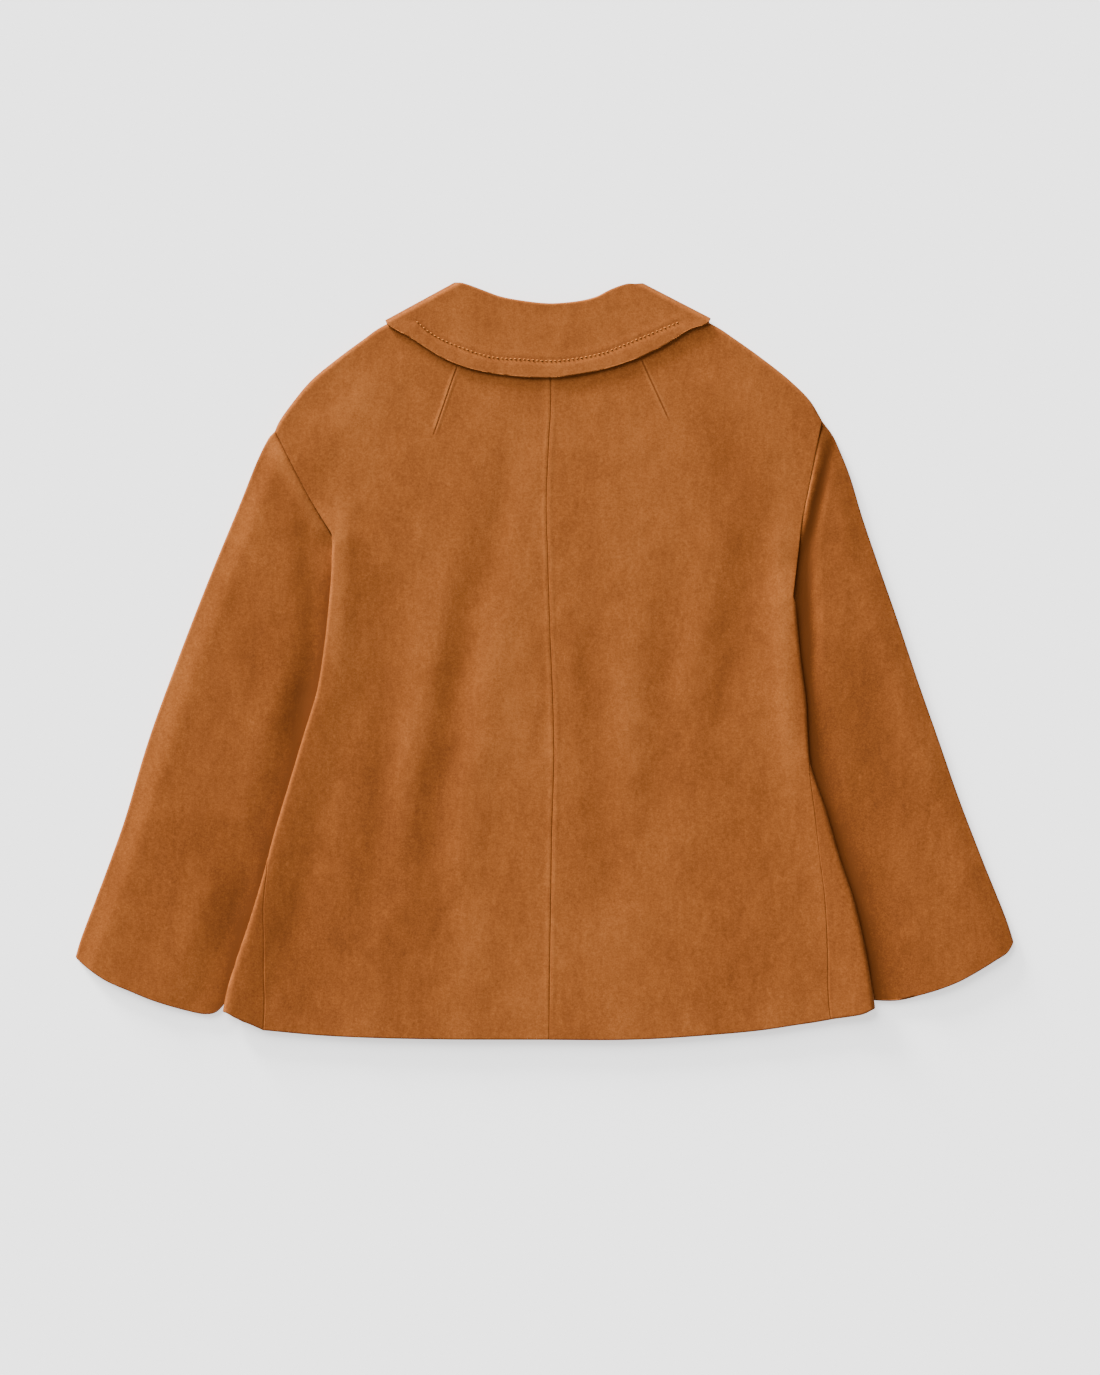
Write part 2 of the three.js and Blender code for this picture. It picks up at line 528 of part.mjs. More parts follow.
function sleeve(side) {
  const shifted = (rows, gap) => rows.map((row) => ({ out: row.out + gap, y: row.y }));
  const armhole = shifted(side.armhole, SLEEVE_GAP.top);
  const armholeEnd = armhole[armhole.length - 1];
  const under = side.underarm;
  const bend = {
    out: mix(armholeEnd.out, under.out, SLEEVE_BEND.across),
    y: mix(armholeEnd.y, under.y, SLEEVE_BEND.down),
  };
  const topEdge = joined(
    line(armhole, 'out', 'y'), line([armholeEnd, bend, under], 'out', 'y'), SLEEVE_BEND.share);
  const bottomEdge = line(
    [...shifted(side.frontArmhole, SLEEVE_GAP.bottom).slice(0, -1), under], 'out', 'y');
  const outerEdge = line(side.sleeveOuter, 'out', 'y');
  const cuffEnd = side.cuff[side.cuff.length - 1];
  const innerRows = side.fold
    .filter((row) => row.y < under.y - SLEEVE_ENDS.underarm && row.y > cuffEnd.y + SLEEVE_ENDS.cuff)
    .map((row) => ({ out: row.out - row.tuck, y: row.y }));
  const innerEdge = line([under, ...innerRows, cuffEnd], 'out', 'y');
  const cuff = line(side.cuff, 'out', 'y');
  const layers = [topEdge, bottomEdge].map((edge) => patch(edge, cuff, outerEdge, innerEdge));
  const radius = SLEEVE_HEIGHT / 2;
  const surface = (u, v) => {
    const ring = ((u % 1) + 1) % 1;
    const top = ring < 0.5;
    const turn = top ? ring * 2 : 2 - ring * 2;
    const across = (1 - Math.cos(Math.PI * turn)) / 2;
    const shape = layers[top ? 0 : 1];
    const [out, y] = shape(across, v);
    const [firstOut, firstY] = shape(0, v);
    const [lastOut, lastY] = shape(1, v);
    const edge = Math.min(Math.hypot(out - firstOut, y - firstY), Math.hypot(out - lastOut, y - lastY));
    const inside = clamp01(1 - edge / radius);
    const half = radius * Math.sqrt(Math.max(0, 1 - inside * inside));
    const fall = mix(PUFF.fallTop, PUFF.fallBelow, smooth(v / PUFF.settle));
    const puff = SLEEVE_PUFF * smooth(across / PUFF.rise) * (1 - smooth((across - fall) / PUFF.fall));
    const height = top ? radius + half + puff : radius - half;
    return new THREE.Vector3(side.sign * out, y, height);
  };
  return { surface, us: even(24).slice(0, -1), vs: even(16), flip: side.sign < 0, ring: true };
}

// Line along which the collar folds under beside the neck, a roll's radius inside its visible edge
function collarFold(side) {
  const { inner, outer } = side.collarFold;
  const first = new THREE.Vector2(side.sign * inner.out, inner.y);
  const last = new THREE.Vector2(side.sign * outer.out, outer.y);
  const along = last.clone().sub(first).normalize();
  const outward = new THREE.Vector2(-along.y, along.x).multiplyScalar(side.sign);
  first.addScaledVector(outward, -COLLAR_ROLL);
  last.addScaledVector(outward, -COLLAR_ROLL);
  return { first, last, outward };
}

// Where a point of the underside lies when the collar is opened out flat
function opened(fold, x, y) {
  const point = new THREE.Vector2(x, y);
  const inside = fold.first.clone().sub(point).dot(fold.outward);
  return point.addScaledVector(fold.outward, 2 * inside + Math.PI * COLLAR_ROLL);
}

// The opened collar folded round one side: its place from above, and how far it has turned under
function foldedUnder(fold, point) {
  const past = point.clone().sub(fold.first).dot(fold.outward);
  const turn = Math.PI * COLLAR_ROLL;
  const angle = Math.PI * clamp01(past / turn);
  const place = past > 0 ? COLLAR_ROLL * Math.sin(angle) - Math.max(0, past - turn) : past;
  return { place: point.clone().addScaledVector(fold.outward, place - past), under: (1 - Math.cos(angle)) / 2 };
}

function collar() {
  const folds = { left: collarFold(SIDES.left), right: collarFold(SIDES.right) };
  const half = (name) => {
    const fold = folds[name];
    const { sign } = SIDES[name];
    const front = COLLAR_FRONT.map((row) => [
      opened(fold, NECK_X + sign * row.rollOut, row.rollY), opened(fold, NECK_X + sign * row.edgeOut, row.edgeY),
    ]);
    const turned = even(4).reverse().map((share) => [fold.first, fold.last].map(
      (point) => point.clone().addScaledVector(fold.outward, share * Math.PI * COLLAR_ROLL)));
    return [...front, ...turned];
  };
  const back = BACK_ROLL.map((point, i) => [
    new THREE.Vector2(point.x, point.y), new THREE.Vector2(BACK_FALL[i].x, BACK_FALL[i].y),
  ]);
  const stations = [...half('left'), ...back, ...half('right').reverse()];
  const edges = [0, 1].map((end) => new THREE.CatmullRomCurve3(
    stations.map((station) => new THREE.Vector3(station[end].x, station[end].y, 0)), false, 'centripetal'));
  const surface = (u, v) => {
    const [rolled, free] = edges.map((edge) => edge.getPoint(clamp01(u)));
    const flat = new THREE.Vector2(mix(rolled.x, free.x, v), mix(rolled.y, free.y, v));
    const fold = u < 0.5 ? folds.left : folds.right;
    const { place, under } = foldedUnder(fold, flat);
    const side = place.x < NECK_X ? SIDES.left : SIDES.right;
    const top = backTop(side, place.x, place.y) + LAYER;
    const height = mix(top, 0, under);
    const middle = mix(top - ROLL_RADIUS, ROLL_RADIUS, under);
    const distance = v * Math.hypot(free.x - rolled.x, free.y - rolled.y);
    return new THREE.Vector3(place.x, place.y, rolledHeight(height, middle, distance));
  };
  const us = even(stations.length - 1);
  return { surface, us, vs: [0, 0.009, 0.032, 0.25, 0.5, 0.75, 1], flip: true };
}

// The stand, given by its face towards the inside of the neck
function collarStand() {
  const half = (side) => {
    const place = (row, under, bulge) => {
      const seamX = NECK_X + side.sign * (row.seamOut + bulge);
      const drop = under < 0.5 ? BACK_NECK_DROP : FRONT_NECK_DROP;
      const gap = under < 0.5 ? STAND_SEAM_GAP.back : STAND_SEAM_GAP.front;
      return {
        seam: new THREE.Vector3(seamX, neckY(side, seamX, drop) + gap, 0),
        roll: new THREE.Vector3(NECK_X + side.sign * (row.rollOut + bulge), row.rollY, under),
      };
    };
    const corner = STAND_FRONT[0];
    const turned = [0.25, 0.5, 0.75].map((share) => {
      const angle = Math.PI * share;
      return place(corner, (1 - Math.cos(angle)) / 2, STAND_TURN * Math.sin(angle));
    });
    const first = place(corner, 0, 0);
    turned.forEach((station) => station.seam.setY(first.seam.y));
    const front = even(2 * (STAND_FRONT.length - 1)).map((share) => {
      const at = share * (STAND_FRONT.length - 1);
      const row = STAND_FRONT[Math.floor(at)];
      const next = STAND_FRONT[Math.ceil(at)];
      const middle = Object.fromEntries(Object.keys(row).map((key) => [key, (row[key] + next[key]) / 2]));
      return place(middle, 1, 0);
    });
    front[0].seam.setY(first.seam.y);
    return [...STAND_BACK.map((row) => place(row, 0, 0)), ...turned, ...front];
  };
  const stations = [...half(SIDES.left).reverse(), ...half(SIDES.right).slice(1)];
  const last = stations.length - 1;
  const surface = (u, v) => {
    const at = clamp01(u) * last;
    const i = Math.min(last - 1, Math.floor(at));
    const [a, b] = [stations[i], stations[i + 1]];
    const seam = a.seam.clone().lerp(b.seam, at - i);
    const roll = a.roll.clone().lerp(b.roll, at - i);
    const under = roll.z;
    const x = mix(seam.x, roll.x, v);
    const y = mix(seam.y, roll.y, v);
    const side = x < NECK_X ? SIDES.left : SIDES.right;
    const top = backTop(side, x, y) + LAYER;
    const depth = 2 * ROLL_RADIUS + SEAM_GAP;
    const height = mix(top - depth, depth, under);
    const middle = mix(top - ROLL_RADIUS - SEAM_GAP, ROLL_RADIUS + SEAM_GAP, under);
    const distance = (1 - v) * Math.hypot(roll.x - seam.x, roll.y - seam.y);
    return new THREE.Vector3(x, y, rolledHeight(height, middle, distance));
  };
  return { surface, us: even(last), vs: [0, 0.5, 0.86, 0.96, 1], flip: true };
}

const PIECES = {
  back_left: backPanel(SIDES.left),
  back_right: backPanel(SIDES.right),
  front_left: frontPanel(SIDES.left),
  front_right: frontPanel(SIDES.right),
  sleeve_left: sleeve(SIDES.left),
  sleeve_right: sleeve(SIDES.right),
  collar: collar(),
  collar_stand: collarStand(),
};

const jacket = new THREE.Group();
jacket.position.y = MIDDLE_SHIFT;
Object.entries(PIECES).forEach(([name, piece]) => {
  const mesh = new THREE.Mesh(wall(piece), new THREE.MeshStandardMaterial(SUEDE));
  mesh.name = name;
  jacket.add(mesh);
});

export default jacket;
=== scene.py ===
import math
from collections import namedtuple

import bpy
import numpy as np
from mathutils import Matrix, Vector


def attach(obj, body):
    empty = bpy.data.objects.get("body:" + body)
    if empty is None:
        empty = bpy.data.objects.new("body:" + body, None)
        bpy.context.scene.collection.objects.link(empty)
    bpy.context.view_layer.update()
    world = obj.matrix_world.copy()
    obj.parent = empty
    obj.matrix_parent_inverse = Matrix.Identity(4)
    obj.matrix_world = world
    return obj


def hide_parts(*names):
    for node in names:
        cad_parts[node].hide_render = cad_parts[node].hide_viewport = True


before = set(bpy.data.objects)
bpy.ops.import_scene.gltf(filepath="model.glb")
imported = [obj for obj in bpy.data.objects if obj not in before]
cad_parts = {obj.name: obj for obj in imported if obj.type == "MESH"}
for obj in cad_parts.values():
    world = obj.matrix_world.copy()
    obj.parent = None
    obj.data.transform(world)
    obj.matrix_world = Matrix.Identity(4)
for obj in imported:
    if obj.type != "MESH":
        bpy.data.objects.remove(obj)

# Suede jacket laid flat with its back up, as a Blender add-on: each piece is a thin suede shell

bl_info = {
    "name": "Suede Jacket",
    "version": (1, 0, 0),
    "blender": (4, 5, 0),
    "location": "View3D > Sidebar > Jacket",
    "description": "Builds a flared suede jacket that lies flat with its back up",
    "category": "Object",
}

# Sizes in millimetres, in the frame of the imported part: +Z up, +Y towards the collar
MM = 0.001
WALL = 1.8
SEAM_GAP = 0.3
LAYER = WALL + SEAM_GAP
# The edges that show at a seam press together a little, and those under a fold stay apart
SHOWN_GAP = -0.1
HIDDEN_GAP = 1.9
SEAM_SPACING = 14

# Turns of the points on a half round edge between its two faces
RIM_ANGLES = (math.pi / 4, math.pi / 2, 3 * math.pi / 4)

# Body: its height, the lap of the fronts, and the side folds, which lie over the sleeves
BODY_HEIGHT = 7.4
BACK_LENGTH = 618
FRONT_LENGTH = 563
FRONT_LAP = 16
LAP_LIFT = LAYER + 0.3
SLEEVE_HEIGHT = 4.6
SLEEVE_PUFF = 2.2
SIDE_LIFT = SLEEVE_HEIGHT + 0.4
SIDE_ROLL = 2.5
SIDE_TURN = math.pi * SIDE_ROLL
SIDE_SLOPE = 42
# Part of a panel's top edge from the side to the neck, and part of a sleeve's head that the armhole makes
SHOULDER_SHARE = 0.625
HEAD_SHARE = 0.62
# Part of the folds' stated depth that the back shows
FOLD_SHARE = 0.5
# Move of the whole jacket along its length, which sets it in the middle
MIDDLE_SHIFT = 0.3

# Neck and collar
NECK_X = 3
NECK_RISE = 1.3
NECK_CURVE = 2.4
BACK_NECK_DROP = 27.3
FRONT_NECK_DROP = 80.4
COLLAR_HALF_WIDTH = 143
COLLAR_DEPTH = 142
COLLAR_Y = 300
COLLAR_ROLL = 5.4
ROLL_RADIUS = 2.1
STAND_TURN = 0.9
BACK_STAND_GAP = 1.2
FRONT_STAND_GAP = 2.1

# Columns of the tables: outwards from the centre line, and along the length
SIDES = {
    "left": {
        "sign": -1,
        "fold_start": 111,
        "underarm": (171, 54),
        "shoulder": [
            (85.8, 312.4), (114, 306.2), (143, 294.8), (160.6, 282.5), (184.4, 264.9), (205.5, 247.3),
            (220.4, 229.7), (233.6, 211.2), (237.2, 203.3),
        ],
        "armhole": [(237.2, 203.3), (224, 176.9), (206.4, 143.4), (186.4, 111)],
        "front_armhole": [(237.2, 203.3), (216, 177), (193, 143), (178, 111), (171.4, 80), (170.4, 54)],
        # length, outwards, and how far the sleeve's inner edge lies under the folded side
        "fold": [
            (210, 262, 17), (177, 238, 17), (143, 215, 17), (111, 189.2, 17), (86, 187.4, 15),
            (62, 188.8, 13), (18, 193.2, 11), (-26, 200.2, 12), (-61, 210.8, 14), (-105, 224, 14),
            (-149, 237.2, 14), (-193, 249, 13), (-232, 260.9, 11), (-263, 271.4, 8), (-290, 279.5, 4),
            (-330, 288, 2),
        ],
        # length, and how far the back passes the side fold, negative where the front shows on top
        "side_seam": [
            (111, 0), (104, 3.4), (94, 8), (80, 13), (54, 16), (20, 15), (-61, 13), (-149, 7), (-184, 0),
            (-212, -5), (-263, -22), (-299, -33), (-324.5, -37),
        ],
        "hem": [(0, -332.7), (96, -332.5), (166, -330.9), (201, -329.1), (249, -324.7)],
        # past the side fold, and along the length
        "front_hem": [
            (-280, -331), (-120, -330), (-60, -327), (-20, -318), (0, -308), (14, -314), (37, -324.5),
        ],
        # from the shoulder's end, which the armhole gives, to the cuff
        "sleeve_outer": [
            (244.2, 194.5), (253, 176.9), (267.1, 141.7), (296.1, 71.3), (323.4, 0.9), (348.9, -69.5),
            (370, -139.9), (382.4, -175.1), (395.6, -210.3), (408.8, -245.5), (413.2, -260.5),
        ],
        "cuff": [
            (413.2, -260.5), (404.4, -268.4), (386.8, -280.7), (364.8, -290.4), (345.4, -298.3),
            (316.4, -307.1), (298.8, -310.6), (289.5, -309), (281.5, -301.5),
        ],
        "dart": [(-77, 258.7), (-98.1, 197.1)],
        "collar_fold": [(81, 332.6), (140.4, 300.2)],
    },
    "right": {
        "sign": 1,
        "fold_start": 56,
        "underarm": (207, 0),
        "shoulder": [
            (88.4, 312.4), (123.6, 307.1), (150.9, 294.8), (169.4, 282.5), (194, 264.9), (216, 247.3),
            (233.6, 229.7), (244.2, 212.1),
        ],
        "armhole": [
            (244.2, 212.1), (238, 181.3), (231.9, 150.5), (226.6, 124.1), (223.6, 97.7), (218.6, 56),
        ],
        "front_armhole": [(244.2, 212.1), (230, 180), (216, 140), (208, 100), (205, 50), (206.4, 0)],
        "fold": [
            (216, 262, 17), (181, 250, 17), (150, 242, 17), (124, 235, 17), (98, 229, 17), (56, 221.4, 17),
            (36, 222.2, 15), (1, 225.7, 13), (-34, 230.1, 11), (-70, 231.9, 15), (-92, 234.5, 14),
            (-131, 247.7, 14), (-173, 260, 13), (-210, 272.4, 12), (-259, 283.8, 11), (-285, 288.2, 10),
            (-320, 293, 9),
        ],
        "side_seam": [
            (56, 0), (49, 3.4), (39, 8), (25, 13), (0, 16), (-34, 12), (-70, 6), (-96, 0), (-131, -8),
            (-166, -14), (-219, -25), (-290, -37), (-315, -38),
        ],
        "hem": [(0, -332.9), (53, -333.4), (92.8, -332.6), (136.8, -330), (189.6, -325.6), (254.8, -316)],
        "front_hem": [
            (-280, -331), (-120, -326), (-60, -320), (-20, -312), (0, -306), (12, -311), (38, -315.7),
        ],
        "sleeve_outer": [
            (253.9, 198.9), (260, 185.7), (268.8, 163.7), (279.4, 128.5), (295.2, 81.8),
            (311.1, 36.1), (328.7, -16.7), (347.2, -69.5), (365.6, -122.3), (385.9, -175.1), (407, -227.9),
            (413.2, -247.3),
        ],
        "cuff": [
            (413.2, -247.3), (407.9, -256.1), (397.3, -263.1), (383.2, -271.9), (365.6, -281.6),
            (348, -288.6), (330.4, -293.9), (312.8, -298.3), (299.6, -298.8), (279.5, -297.5),
        ],
        "dart": [(85.8, 264), (111.3, 208.6)],
        "collar_fold": [(88.4, 332), (146.5, 302)],
    },
}

# Seam down the centre of the back
CENTRE_BACK = [
    (3, 285.1), (5.7, 229.7), (4, 194.5), (1.8, 141.7), (3.1, 88.9), (5.3, 18.5), (7.5, -34.3),
    (8.4, -87.1), (6.6, -148.7), (5.7, -210.3), (4.8, -263.1), (4, -332.9),
]

# Soft troughs of the solid back: both ends, depth and half width
FOLDS = [
    (-22, 190, -76, -20, 1.5, 20), (-76, -20, -98, -160, 1.9, 18), (-132, 47, -148, -200, 1.2, 16),
    (-222, -200, -200, -283, 1.3, 26), (42, 3, 60, -200, 1.2, 18), (115, 47, 98, -115, 1.2, 18),
    (188, 120, 160, -31, 1.2, 20), (160, 177, 158, 150, 1, 18),
]

# Rolled edge and free edge of the collar under the fronts, outwards from the middle of the neck
COLLAR_FRONT = [
    ((1.2, 245), (5, 170)), ((14, 246), (34, 161)), ((34, 253), (76, 173)), ((56, 270.5), (110, 203)),
    ((70, 291), (131, 243)), ((78, 311), (140, 272)),
]
# Stand of the collar: its seam outwards, its roll outwards, and the roll's place along the length
STAND_BACK = [(0, 0, 314.7), (30, 28, 316.8), (58, 50, 323.4), (76, 68, 329), (82, 74, 329)]
STAND_FRONT = [(82, 74, 329), (76, 75, 311), (54, 56, 270.5), (28, 30, 251), (1.2, 1.2, 245)]
# Rolled edge and free edge of the collar on the back
BACK_ROLL = [
    (-65.6, 330.9), (-51.5, 325.6), (-39.2, 321.2), (-21.6, 317.7), (3.1, 315), (20.7, 315.9),
    (35.6, 318.1), (46.2, 321.2), (58.5, 327.4), (72.8, 332.2),
]
BACK_FALL = [
    (-118.4, 284.2), (-92, 267.5), (-66, 257), (-34, 251), (3.1, 249), (28, 251.6), (57.6, 257.8),
    (84, 267), (106, 277.8), (128, 291.3),
]
# Stations round the collar's fold: share of the turn, and the roll's shift and rise there
COLLAR_TURN = [(1, 0, 0), (0.75, 0.4, 0), (0.5, 1.2, 0), (0.25, 3.8, 0.5), (0, 7.5, 1.8)]
# Topstitch of the collar, about 14 mm inside its edge
STITCH_LINE = [
    (-113.1, 299.2), (-101.6, 289.5), (-87.6, 281.6), (-70, 274.6), (-47.1, 267.5), (-17.2, 265.3),
    (6.6, 264), (26, 265.8), (51.5, 271), (76.1, 280.7), (101.6, 291.3), (118.4, 298.3),
]

# Part of the pitch that a stitch covers, and the rings and sides of its bead
STITCH_SHARE = 0.62
STITCH_RINGS = 7
STITCH_SIDES = 8

# Layers of the nap's mottling: name, weight, scale, detail, roughness, stretch and distortion
NAP_LAYERS = [
    ("clouds", 0.38, 13, 3, 0.55, (1.3, 0.8, 1), 0.6),
    ("patches", 0.42, 46, 5, 0.62, (1.2, 0.75, 1), 0.8),
    ("brushed", 0.34, 120, 4, 0.6, (1.6, 0.4, 1), 0.3),
    ("flecks", 0.62, 330, 4, 0.7),
    ("grain", 0.85, 760, 2, 0.7),
]
# Slant of the nap's larger unevenness across the length, and the number of cells before its noise repeats
NAP_SLANT = 0.22
NOISE_CELLS = 256
# Ridge pressed up beside the centre back seam: its distance from the seam, its half width and its height
RIDGE_ASIDE = 2.6
RIDGE_HALF = 1.7
RIDGE_HEIGHT = 0.3

# Way of both lights over the table, and the camera's place above it in metres
LIGHT_WAY = (0.565, -0.825)
CAMERA_PLACE = (0.0048, -0.0226)

# Cut pieces: seed of the suede's unevenness, tint, place in the hide's pattern, and the flat cut in metres
Cut = namedtuple("Cut", "seed tint offset flat area")
CUTS = {
    "suede_back_left": Cut(11, 0.06, (0.0, 0.0, 0.0), (0.253, 0.646), 0.139),
    "suede_back_right": Cut(11, 0.0, (3.1, 1.7, 0.4), (0.255, 0.646), 0.141),
    "suede_front_left": Cut(21, -0.1, (5.3, 2.9, 0.2), (0.31, 0.643), 0.145),
    "suede_front_right": Cut(22, -0.15, (7.7, 4.1, 0.9), (0.32, 0.643), 0.155),
    "suede_sleeve_left": Cut(31, -0.1, (11.3, 5.9, 1.2), (0.3, 0.56), 0.1235),
    "suede_sleeve_right": Cut(32, -0.25, (13.7, 6.1, 0.7), (0.27, 0.55), 0.1027),
    "suede_collar": Cut(41, 0.1, (17.3, 8.9, 0.3), (0.55, 0.142), 0.0436),
    "suede_collar_stand": Cut(51, -0.2, (19.9, 9.7, 0.6), (0.4, 0.038), 0.0066),
}


def mix(a, b, share):
    """Value between a and b at a share from 0 to 1."""
    return a + (b - a) * share


def smooth(value):
    """Soft step from 0 to 1 while the value goes from 0 to 1."""
    share = np.clip(value, 0, 1)
    return share * share * (3 - 2 * share)


def hermite(t, start, end, slope_in, slope_out):
    """Cubic from start to end with given slopes."""
    return ((2 * t ** 3 - 3 * t ** 2 + 1) * start + (t ** 3 - 2 * t ** 2 + t) * slope_in
            + (3 * t ** 2 - 2 * t ** 3) * end + (t ** 3 - t ** 2) * slope_out)


def lookup(rows, column, at):
    """Smooth value of one column of a table whose rows run along its first column."""
    table = np.array(sorted(rows), float)
    keys, values = table[:, 0], table[:, column]
    last = len(keys) - 1
    at = np.clip(at, keys[0], keys[last])
    i = np.clip(np.searchsorted(keys, at, side="left") - 1, 0, last - 1)
    before, after = np.maximum(i - 1, 0), np.minimum(i + 2, last)
    span = keys[i + 1] - keys[i]
    slope_in = (values[i + 1] - values[before]) / (keys[i + 1] - keys[before])
    slope_out = (values[after] - values[i]) / (keys[after] - keys[i])
    return hermite((at - keys[i]) / span, values[i], values[i + 1], span * slope_in, span * slope_out)


def spline(points, by_length=True, steps=24):
    """Centripetal curve through flat points, as a function of its share."""
    p = np.asarray(points, float)
    p = np.vstack([2 * p[0] - p[1], p, 2 * p[-1] - p[-2]])
    t = np.linspace(0, 1, steps, endpoint=False)[:, None]
    parts = []
    for a, b, c, d in zip(p[:-3], p[1:-2], p[2:-1], p[3:]):
        da, db, dc = (max(np.linalg.norm(edge) ** 0.5, 1e-4) for edge in (b - a, c - b, d - c))
        slope_in = ((b - a) / da - (c - a) / (da + db) + (c - b) / db) * db
        slope_out = ((c - b) / db - (d - b) / (db + dc) + (d - c) / dc) * db
        parts.append(hermite(t, b, c, slope_in, slope_out))
    path = np.vstack([*parts, p[-2:-1]])
    run = np.linspace(0, 1, len(path))
    if by_length:
        run = np.concatenate([[0], np.cumsum(np.linalg.norm(np.diff(path, axis=0), axis=1))])
        run /= run[-1]
    return lambda share: np.stack([np.interp(share, run, path[:, k]) for k in (0, 1)], axis=-1)


def joined(first, second, split):
    """Two edges as one, which passes from the first to the second at a share."""
    return lambda share: np.where((np.asarray(share) < split)[..., None],
                                  first(np.asarray(share) / split),
                                  second((np.asarray(share) - split) / (1 - split)))


def fitted(edge, start, end):
    """An edge whose two ends are moved on to given points."""
    move_start, move_end = start - edge(0.0), end - edge(1.0)
    return lambda share: edge(share) + mix(move_start, move_end, np.asarray(share)[..., None])


def patch(top, bottom, start, finish):
    """Blend of four edges: top and bottom run over u, start and finish over v."""
    c = [start(0.0), finish(0.0), start(1.0), finish(1.0)]
    upper, lower = fitted(top, c[0], c[1]), fitted(bottom, c[2], c[3])

    def shape(u, v):
        s, t = np.asarray(u)[..., None], np.asarray(v)[..., None]
        return (mix(upper(u), lower(u), t) + mix(start(v), finish(v), s)
                - mix(mix(c[0], c[1], s), mix(c[2], c[3], s), t))

    return shape


def crease(x, y, row):
    """Height of one crease at a point. A trough has a low ridge on each side, and a ridge a low trough."""
    x0, y0, x1, y1, height, half = row
    length = math.hypot(x1 - x0, y1 - y0)
    dx, dy = (x1 - x0) / length, (y1 - y0) / length
    travelled = (x - x0) * dx + (y - y0) * dy
    aside = ((x - x0) * dy - (y - y0) * dx) / half
    past = np.maximum(0, np.maximum(-travelled, travelled - length)) / (2 * half)
    return height * (np.exp(-past ** 2) * (1 - aside ** 2 / 2) * np.exp(-aside ** 2 / 2))


def collar_radius(x, y):
    """Distance from the collar's middle, as a share of its half width and depth."""
    return np.hypot((x - NECK_X) / COLLAR_HALF_WIDTH, (y - COLLAR_Y) / COLLAR_DEPTH)


def fold_out(side, y):
    """How far out the body's side fold lies at a place along the length."""
    return lookup(side["fold"], 1, y)


def fold_centre(side, y):
    """How far out the centre of the side fold's roll lies."""
    return fold_out(side, y) - SIDE_ROLL


def back_top(side, x, y):
    """Height of the back's upper face, with its rise at the neck and its slope to the side fold."""
    near = smooth(1 - (fold_centre(side, y) - side["sign"] * x) / SIDE_SLOPE)
    lifted = near * smooth((side["fold_start"] + 34 - y) / 40)
    radius = collar_radius(x, y)
    rise = NECK_RISE * (1 - smooth((radius - 1.2) / 1.4))
    body = mix(BODY_HEIGHT + rise, SIDE_LIFT + 2 * SIDE_ROLL, lifted)
    depth = sum(crease(x, y, row) for row in FOLDS)
    clear_of_collar = smooth((radius - 0.6) / 0.8)
    clear_of_centre = smooth((np.abs(x) - 20) / 20)
    return body - FOLD_SHARE * depth * (1 - lifted) * clear_of_collar * clear_of_centre


def front_bottom(side, x, y, lap):
    """Height of a front's lower face, over the collar, the other front and the sleeve."""
    inner = fold_out(side, y) - lookup(side["fold"], 2, y)
    reach = smooth((side["sign"] * x - inner + 15) / 12) * smooth((side["underarm"][1] + 1 - y) / 12)
    lapped = LAP_LIFT * smooth((x + 40) / 22) if lap else 0
    over_collar = 1 - smooth((collar_radius(x, y) - 1.2) / 0.2)
    return np.maximum(LAYER * over_collar + lapped, SIDE_LIFT * reach)


def body_point(side, past, y, front=False, lap=False):
    """A point of the body's flattened section. past is how far it lies round the side fold from the top."""
    sign = side["sign"]
    centre = fold_centre(side, y)
    low = SIDE_LIFT * smooth((side["fold_start"] + 6 - y) / 14)
    angle = np.clip(past / SIDE_ROLL, 0, math.pi)
    rolled = SIDE_ROLL * np.sin(angle) - np.maximum(0, past - SIDE_TURN)
    x = sign * (centre + np.where(past <= 0, past, rolled))
    edge_top = back_top(side, sign * centre, y)
    z = np.where(past <= 0, back_top(side, x, y), low + (edge_top - low) / 2 * (1 + np.cos(angle)))
    if front:
        z = np.where(past >= SIDE_TURN, front_bottom(side, x, y, lap), z)
    return x, z


def rolled_height(height, middle, distance):
    """Quarter roll of a panel's height towards an edge, where it meets the other layer."""
    radius = np.abs(height - middle)
    inside = np.clip(1 - distance / np.maximum(radius, 1e-4), 0, 1)
    return middle + (height - middle) * np.sqrt(np.maximum(0, 1 - inside ** 2))


def neck_y(side, x, drop):
    """Place of the neck's edge along the length, at its drop below the shoulders' ends."""
    out, y = side["shoulder"][0]
    half = abs(side["sign"] * out - NECK_X)
    return y - drop * (1 - np.minimum(1, np.abs(x - NECK_X) / half) ** NECK_CURVE)


def neck_edge(side, drop, end_out):
    """Edge of a panel's neck from the shoulder to the panel's middle."""
    def edge(share):
        out = mix(side["shoulder"][0][0], end_out, np.asarray(share, float))
        return np.stack([out, neck_y(side, side["sign"] * out, drop)], axis=-1)

    return edge


def seam_rows(side, from_y, place):
    """Points of the side seam from a place down to its end, each set across by place(centre, wrap)."""
    last = side["side_seam"][-1][0]
    ys = np.linspace(from_y, last, math.ceil((from_y - last) / SEAM_SPACING) + 1)
    return [(float(place(fold_centre(side, y), lookup(side["side_seam"], 1, y))), y) for y in ys]


def shoulder_middle(side, x, y):
    """Height halfway between the back and the front, where they meet at the shoulder."""
    return (back_top(side, x, y) + front_bottom(side, x, y, False)) / 2


